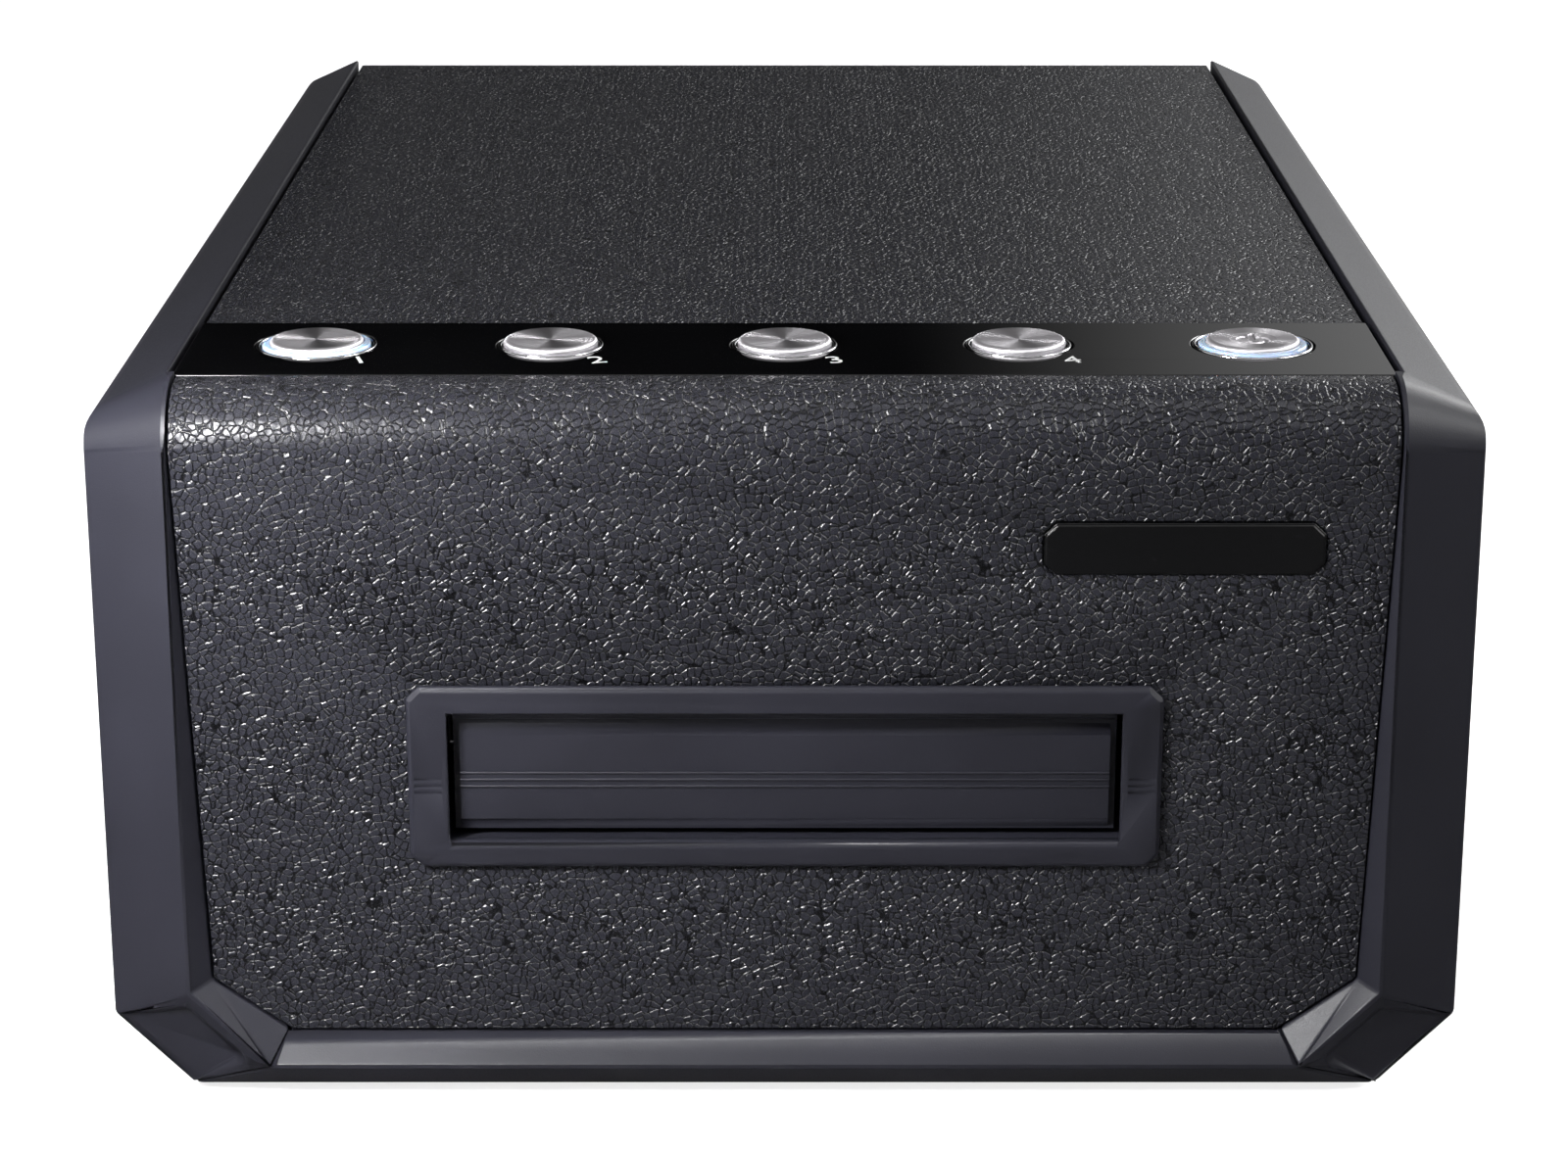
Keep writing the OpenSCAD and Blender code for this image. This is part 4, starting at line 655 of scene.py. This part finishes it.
def turned(name, radius, height, centre, around):
    """A surface of revolution: each point of the profile (radius, height) swept round the centre.

    The point at angle t and step s is (radius[s] cos t, radius[s] sin t, height[s, t]), and the UV
    map runs once round in U and along the profile in V. A profile starts and ends at the middle,
    where a very small ring closes it, or comes back to its first point.
    """
    angle = np.linspace(0, 2 * np.pi, around, endpoint=False)
    radius = np.asarray(radius)[:, None]
    height = np.broadcast_to(np.asarray(height).reshape(len(radius), -1), (len(radius), around))
    points = np.stack([centre[0] + radius * np.cos(angle), centre[1] + radius * np.sin(angle),
                       height], axis=-1).reshape(-1, 3)
    faces = grid_faces(len(radius), around, True)
    along = np.concatenate([[0], np.cumsum(np.hypot(np.diff(radius[:, 0]), np.diff(height[:, 0])))])
    along = along / along[-1]
    row = faces // around
    column = faces % around
    wrap = (np.ptp(column, axis=1)[:, None] > 1) & (column == 0)
    u = (column + wrap * around) / around
    uv = np.stack([u, along[row]], axis=-1).reshape(-1, 2)
    mesh = mesh_from(name, points, faces, uv)
    work = bmesh.new()
    work.from_mesh(mesh)
    bmesh.ops.remove_doubles(work, verts=work.verts, dist=1e-7)
    bmesh.ops.recalc_face_normals(work, faces=work.faces)
    work.to_mesh(mesh)
    work.free()
    return mesh


# ---------------------------------------------------------------- pieces


class HousingBuilder(bpy.types.Operator):
    """Frame, bezel, door and rear panel with eased edges."""

    bl_idname = "scanner.housing"
    bl_label = "Housing"

    def execute(self, context):
        """Replaces the moulded CAD nodes by copies with eased edges."""
        radius = context.scene.scanner_housing.edge_radius
        for node in ("side_panel_left", "side_panel_right", "base_tray"):
            eased_copy(node, radius, segments=3, angle=15, least=LONG_EDGE, clamp=False)
        eased_copy("slot_bezel", radius * 0.8, segments=3, least=LONG_EDGE, clamp=False)
        eased_copy("slot_door", radius * 0.45, least=LONG_EDGE)
        eased_copy("rear_panel", radius * 0.5)
        return {"FINISHED"}


class GrainBuilder(bpy.types.Operator):
    """Front panel and top cover in leather grain."""

    bl_idname = "scanner.grain"
    bl_label = "Grained panels"

    def execute(self, context):
        """Replaces both grained CAD nodes by copies with eased edges."""
        for node in ("front_panel", "top_cover"):
            eased_copy(node, context.scene.scanner_housing.edge_radius * 0.7)
        return {"FINISHED"}


class PlateBuilder(bpy.types.Operator):
    """Gloss plate under the buttons, its numbers, and the gloss plaque."""

    bl_idname = "scanner.plate"
    bl_label = "Gloss plate and plaque"

    def execute(self, context):
        """Eases the gloss pieces and prints a number beside each button."""
        eased_copy("button_plate", 0.0002)
        eased_copy("name_plaque", 0.0001)
        for name, digit in NUMBERS.items():
            self.number(context.scene.scanner_buttons, name, digit)
        return {"FINISHED"}

    def number(self, settings, name, digit):
        """One printed number, slightly turned, at the lower right of its button."""
        cap_low, cap_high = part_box(name + "_button")
        plate_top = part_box("button_plate")[1][2]
        text = bpy.data.curves.new(name + "_text", "FONT")
        text.body = digit
        text.size = settings.number_height / DIGIT_SHARE
        text.extrude = INK
        text.align_x = "CENTER"
        text.align_y = "CENTER"
        source = bpy.data.objects.new(name + "_text", text)
        mesh = bpy.data.meshes.new_from_object(source)
        mesh.name = name + "_number"
        bpy.data.objects.remove(source)
        reach = settings.number_place
        place = Vector(((cap_low[0] + cap_high[0]) / 2 + reach * math.cos(NUMBER_ANGLE),
                        (cap_low[1] + cap_high[1]) / 2 + reach * math.sin(NUMBER_ANGLE),
                        plate_top + INK))
        mesh.transform(Matrix.Translation(place) @ Matrix.Rotation(NUMBER_TURN, 4, "Z"))
        new_piece(mesh.name, mesh, BODY_OF["button_plate"], "gloss_black", finish("print"))


class ButtonBuilder(bpy.types.Operator):
    """Spun metal caps, their trim rings and the two light rings."""

    bl_idname = "scanner.caps"
    bl_label = "Button caps and rings"

    def execute(self, context):
        """Turns each button's cap and rings, and presses the power symbol into the last cap."""
        settings = context.scene.scanner_buttons
        for name in BUTTONS:
            self.cap(settings, name)
            self.trim_ring(settings, name)
            if name in LIT:
                self.light_ring(settings, name)
        return {"FINISHED"}

    def centre(self, name):
        """Middle of a button."""
        low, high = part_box(name + "_button")
        return (low[0] + high[0]) / 2, (low[1] + high[1]) / 2

    def cap(self, settings, name):
        """One cap: shallow cone, rounded bevel, straight side, and a hollow under a plain cap.

        The height of the top is the rim's height less the cone's depth times (1 - r / R), and the
        power cap's also less the depth of its symbol.
        """
        node = name + "_button"
        low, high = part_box(node)
        rim = settings.cap_radius - settings.cap_bevel
        around = 256
        inner = np.linspace(POLE, rim, 90)
        t = np.linspace(0, np.pi / 2, 9)[1:]
        top = high[2] - settings.cone_depth * (1 - inner / rim)
        edge = high[2] - settings.cap_bevel * (1 - np.cos(t))
        below_r, below_z = [settings.cap_radius, POLE], [low[2], low[2]]
        if name not in LIT:
            wall, roof = settings.cap_radius - SIDE_WALL, high[2] - TOP_WALL
            below_r = [settings.cap_radius, wall, wall, POLE]
            below_z = [low[2], low[2], roof, roof]
        radius = np.concatenate([inner, rim + settings.cap_bevel * np.sin(t), below_r])
        height = np.repeat(np.concatenate([top, edge, below_z])[:, None], around, axis=1)
        if name == "power":
            height[:len(inner)] -= self.symbol(inner, around)
        self.turned_piece(name + "_cap", node, radius, height, around)

    def trim_ring(self, settings, name):
        """The ring let into the plate: a flange below, and a thin wall with a half round top."""
        low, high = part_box("button_trim_rings")
        inner = settings.cap_radius + settings.ring_gap
        if name in LIT:
            inner += settings.light_width
        half = settings.trim_wall / 2
        crown = 0.0002
        flange_top = low[2] + 0.0008
        outer = high[0] - self.centre("power")[0]
        t = np.linspace(0, np.pi, 13)
        radius = np.concatenate([[inner, outer, outer, inner + 2 * half],
                                 inner + half + half * np.cos(t), [inner]])
        height = np.concatenate([[low[2], low[2], flange_top, flange_top],
                                 high[2] - crown + crown * np.sin(t), [low[2]]])
        self.turned_piece(name + "_trim_ring", "button_trim_rings", radius, height, 192)

    def light_ring(self, settings, name):
        """The translucent ring that carries a lit cap: foot, flange, and a rounded shoulder."""
        node = name + "_light_ring"
        low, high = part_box(node)
        outer = settings.cap_radius + settings.light_width
        bore = settings.cap_radius + 0.00005
        foot = 0.0024
        flange = high[0] - self.centre(name)[0]
        flange_low = low[2] + 0.003
        flange_high = flange_low + 0.0012
        seat = high[2] - 0.0009
        shoulder = 0.00045
        t = np.linspace(0, np.pi / 2, 9)
        radius = np.concatenate([[POLE, foot, foot, flange, flange, outer],
                                 outer - shoulder + shoulder * np.cos(t), [bore, bore, POLE]])
        height = np.concatenate([[low[2], low[2], flange_low, flange_low, flange_high, flange_high],
                                 high[2] - shoulder + shoulder * np.sin(t), [high[2], seat, seat]])
        self.turned_piece(node + "_turned", node, radius, height, 192)

    def turned_piece(self, name, node, radius, height, around):
        """One turned piece that stands for a CAD node."""
        mesh = turned(name, radius, height, self.centre(name.split("_")[0]), around)
        smooth_by_angle(mesh, 35)
        piece = new_piece(name, mesh, BODY_OF[node], SLOT_OF[node])
        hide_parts(node)

    def symbol(self, radius, around):
        """Depth of the power symbol at each radius and angle, in a round dish.

        The symbol is all within a stroke of an open ring or of a bar, with soft walls. Both are
        found as distances, and the ring is open where its angle from the top is small.
        """
        angle = np.linspace(0, 2 * np.pi, around, endpoint=False)
        x = radius[:, None] * np.cos(angle)
        y = radius[:, None] * np.sin(angle)
        ring_radius, stroke, depth, soft = 0.0019, 0.00032, 0.00022, 0.00016
        bar_low, bar_high = 0.0006, 0.0026
        dish_radius, dish_depth = 0.0033, 0.00018
        from_middle = np.hypot(x, y)
        from_top = np.abs(np.arctan2(x, y))
        beside = np.clip(math.radians(38) - from_top, 0, None) * ring_radius
        to_ring = np.hypot(np.abs(from_middle - ring_radius), beside)
        to_bar = np.hypot(x, np.clip(bar_low - y, 0, None) + np.clip(y - bar_high, 0, None))
        wall = np.clip((stroke + soft - np.minimum(to_ring, to_bar)) / soft, 0, 1)
        dish = dish_depth * np.clip(1 - (from_middle / dish_radius) ** 2, 0, 1) ** 0.5
        return depth * wall * wall * (3 - 2 * wall) + dish


class InnerBuilder(bpy.types.Operator):
    """Finishes for every CAD node that keeps its own shape."""

    bl_idname = "scanner.inner"
    bl_label = "Other nodes"

    def execute(self, context):
        """Repaints the CAD nodes."""
        for node in NODES:
            repaint(node)
        return {"FINISHED"}


class StageBuilder(bpy.types.Operator):
    """Floor, world, lamps and camera."""

    bl_idname = "scanner.stage"
    bl_label = "Stage"

    def execute(self, context):
        """Builds the stage round the scanner."""
        stage = context.scene.scanner_stage
        self.floor(stage)
        self.world(context.scene, stage.ambient)
        for name, place, target, size in LAMPS:
            self.lamp(name, place, target, size, getattr(stage, name + "_power"))
        self.card("floor_card", ((-1.5, -2.2, 0.0004), (1.5, 1.25, 0.0004)),
                  card_finish("floor_card_dark", stage.floor_card))
        self.card("ceiling_card", ((-3.0, -1.3, 1.6), (3.0, 1.3, 1.6)),
                  card_finish("ceiling_card_dark", stage.ceiling_card, rear=stage.back_card_head))
        self.card("front_card", ((-3.0, -2.2, 0.0), (3.0, -2.2, 1.6)),
                  card_finish("front_card_dark", stage.floor_card))
        self.card("back_card", ((-3.0, 1.3, 0.0), (3.0, 1.3, 1.6)),
                  card_finish("back_card_dark", 0.0, foot=stage.back_card_low,
                              right=stage.back_card_right, head=stage.back_card_head))
        self.camera(context.scene, stage)
        context.scene.view_settings.view_transform = "Standard"
        return {"FINISHED"}

    def camera(self, scene, stage):
        """The camera, level and facing the back, tipped down by its pitch."""
        camera = bpy.data.cameras.new("camera")
        camera.lens = stage.lens
        camera.sensor_width = 36
        camera.clip_start = 0.01
        holder = bpy.data.objects.new("camera", camera)
        holder.location = stage.camera_place
        holder.rotation_euler = Euler((math.pi / 2 - stage.camera_pitch, 0, 0))
        scene.collection.objects.link(holder)
        scene.camera = holder

    def card(self, name, corners, material):
        """A flat card that only reflections see: a grid between two corners, level or upright."""
        low, high = np.array(corners[0]), np.array(corners[1])
        s, t = np.meshgrid(np.linspace(0, 1, 5), np.linspace(0, 1, 5), indexing="ij")
        x = low[0] + (high[0] - low[0]) * s
        y = low[1] + (high[1] - low[1]) * t
        z = low[2] + (high[2] - low[2]) * t
        points = np.stack([x, y, z], axis=-1).reshape(-1, 3)
        mesh = mesh_from(name, points, grid_faces(5, 5, False)[:, ::-1])
        mesh.materials.append(material)
        card = bpy.data.objects.new(name, mesh)
        for kind in ("camera", "diffuse", "transmission", "volume_scatter", "shadow"):
            setattr(card, "visible_" + kind, False)
        bpy.context.scene.collection.objects.link(card)

    def floor(self, stage):
        """A wide plane that turns up behind along a quarter circle, and on to a wall."""
        bend, bend_start = 2, 4
        turn = np.linspace(0, np.pi / 2, 13)
        across = np.linspace(-6, 6, 3)
        along = np.concatenate([[-8.0], bend_start + bend * np.sin(turn), [bend_start + bend]])
        rise = np.concatenate([[0.0], bend - bend * np.cos(turn), [9.0]])
        x, y = np.meshgrid(across, along, indexing="ij")
        z = np.broadcast_to(rise, x.shape)
        points = np.stack([x, y, z], axis=-1).reshape(-1, 3)
        mesh = mesh_from("floor", points, grid_faces(len(across), len(along), False)[:, ::-1])
        mesh.materials.append(floor_finish("pale_floor", tuple(stage.floor_colour),
                                           stage.floor_glow))
        mesh.shade_smooth()
        floor = bpy.data.objects.new("floor", mesh)
        bpy.context.scene.collection.objects.link(floor)

    def world(self, scene, ambient):
        """White to the camera and in reflections, and a faint light otherwise."""
        world = bpy.data.worlds.new("studio")
        world.use_nodes = True
        tree = world.node_tree
        back = tree.nodes["Background"]
        path = tree.nodes.new("ShaderNodeLightPath").outputs
        seen = path["Is Camera Ray"]
        for kind in ("Is Transmission Ray", "Is Glossy Ray"):
            either = tree.nodes.new("ShaderNodeMath")
            either.operation = "MAXIMUM"
            tree.links.new(seen, either.inputs[0])
            tree.links.new(path[kind], either.inputs[1])
            seen = either.outputs[0]
        level = tree.nodes.new("ShaderNodeMapRange")
        level.inputs["To Min"].default_value = ambient
        level.inputs["To Max"].default_value = 1.0
        tree.links.new(seen, level.inputs["Value"])
        tree.links.new(level.outputs[0], back.inputs["Strength"])
        back.inputs["Color"].default_value = WHITE
        scene.world = world

    def lamp(self, name, place, target, size, power):
        """One rectangular lamp that looks at a point."""
        data = bpy.data.lights.new(name, "AREA")
        data.shape = "RECTANGLE"
        data.size, data.size_y = size
        data.energy = power
        lamp = bpy.data.objects.new(name, data)
        lamp.visible_camera = False
        lamp.location = place
        aim = np.array(target) - np.array(place)
        flat = math.hypot(aim[0], aim[1])
        lamp.rotation_euler = Euler((math.atan2(flat, -aim[2]), 0, math.atan2(-aim[0], aim[1])))
        bpy.context.scene.collection.objects.link(lamp)


class ScannerPanel(bpy.types.Panel):
    """Lists the scanner's steps and settings in the sidebar."""

    bl_idname = "VIEW3D_PT_film_scanner"
    bl_label = "Film scanner"
    bl_space_type = "VIEW_3D"
    bl_region_type = "UI"
    bl_category = "Film scanner"

    def draw(self, context):
        """Draws one button for each operator and one row for each setting."""
        for builder in BUILDERS:
            self.layout.operator(builder.bl_idname)
        for key, group in SETTINGS.items():
            box = self.layout.box()
            for field in group.__annotations__:
                box.prop(getattr(context.scene, key), field)


BUILDERS = (InnerBuilder, HousingBuilder, GrainBuilder, PlateBuilder, ButtonBuilder, StageBuilder)


def register():
    """Registers the classes and ties the settings to the scene."""
    for group in SETTINGS.values():
        bpy.utils.register_class(group)
    for key, group in SETTINGS.items():
        setattr(bpy.types.Scene, key, bpy.props.PointerProperty(type=group))
    for builder in BUILDERS:
        bpy.utils.register_class(builder)
    bpy.utils.register_class(ScannerPanel)


def unregister():
    """Takes the classes and settings away again."""
    bpy.utils.unregister_class(ScannerPanel)
    for builder in reversed(BUILDERS):
        bpy.utils.unregister_class(builder)
    for key, group in SETTINGS.items():
        delattr(bpy.types.Scene, key)
        bpy.utils.unregister_class(group)


def main():
    register()
    for builder in BUILDERS:
        group, name = builder.bl_idname.split(".")
        getattr(getattr(bpy.ops, group), name)()


if __name__ == "__main__":
    main()
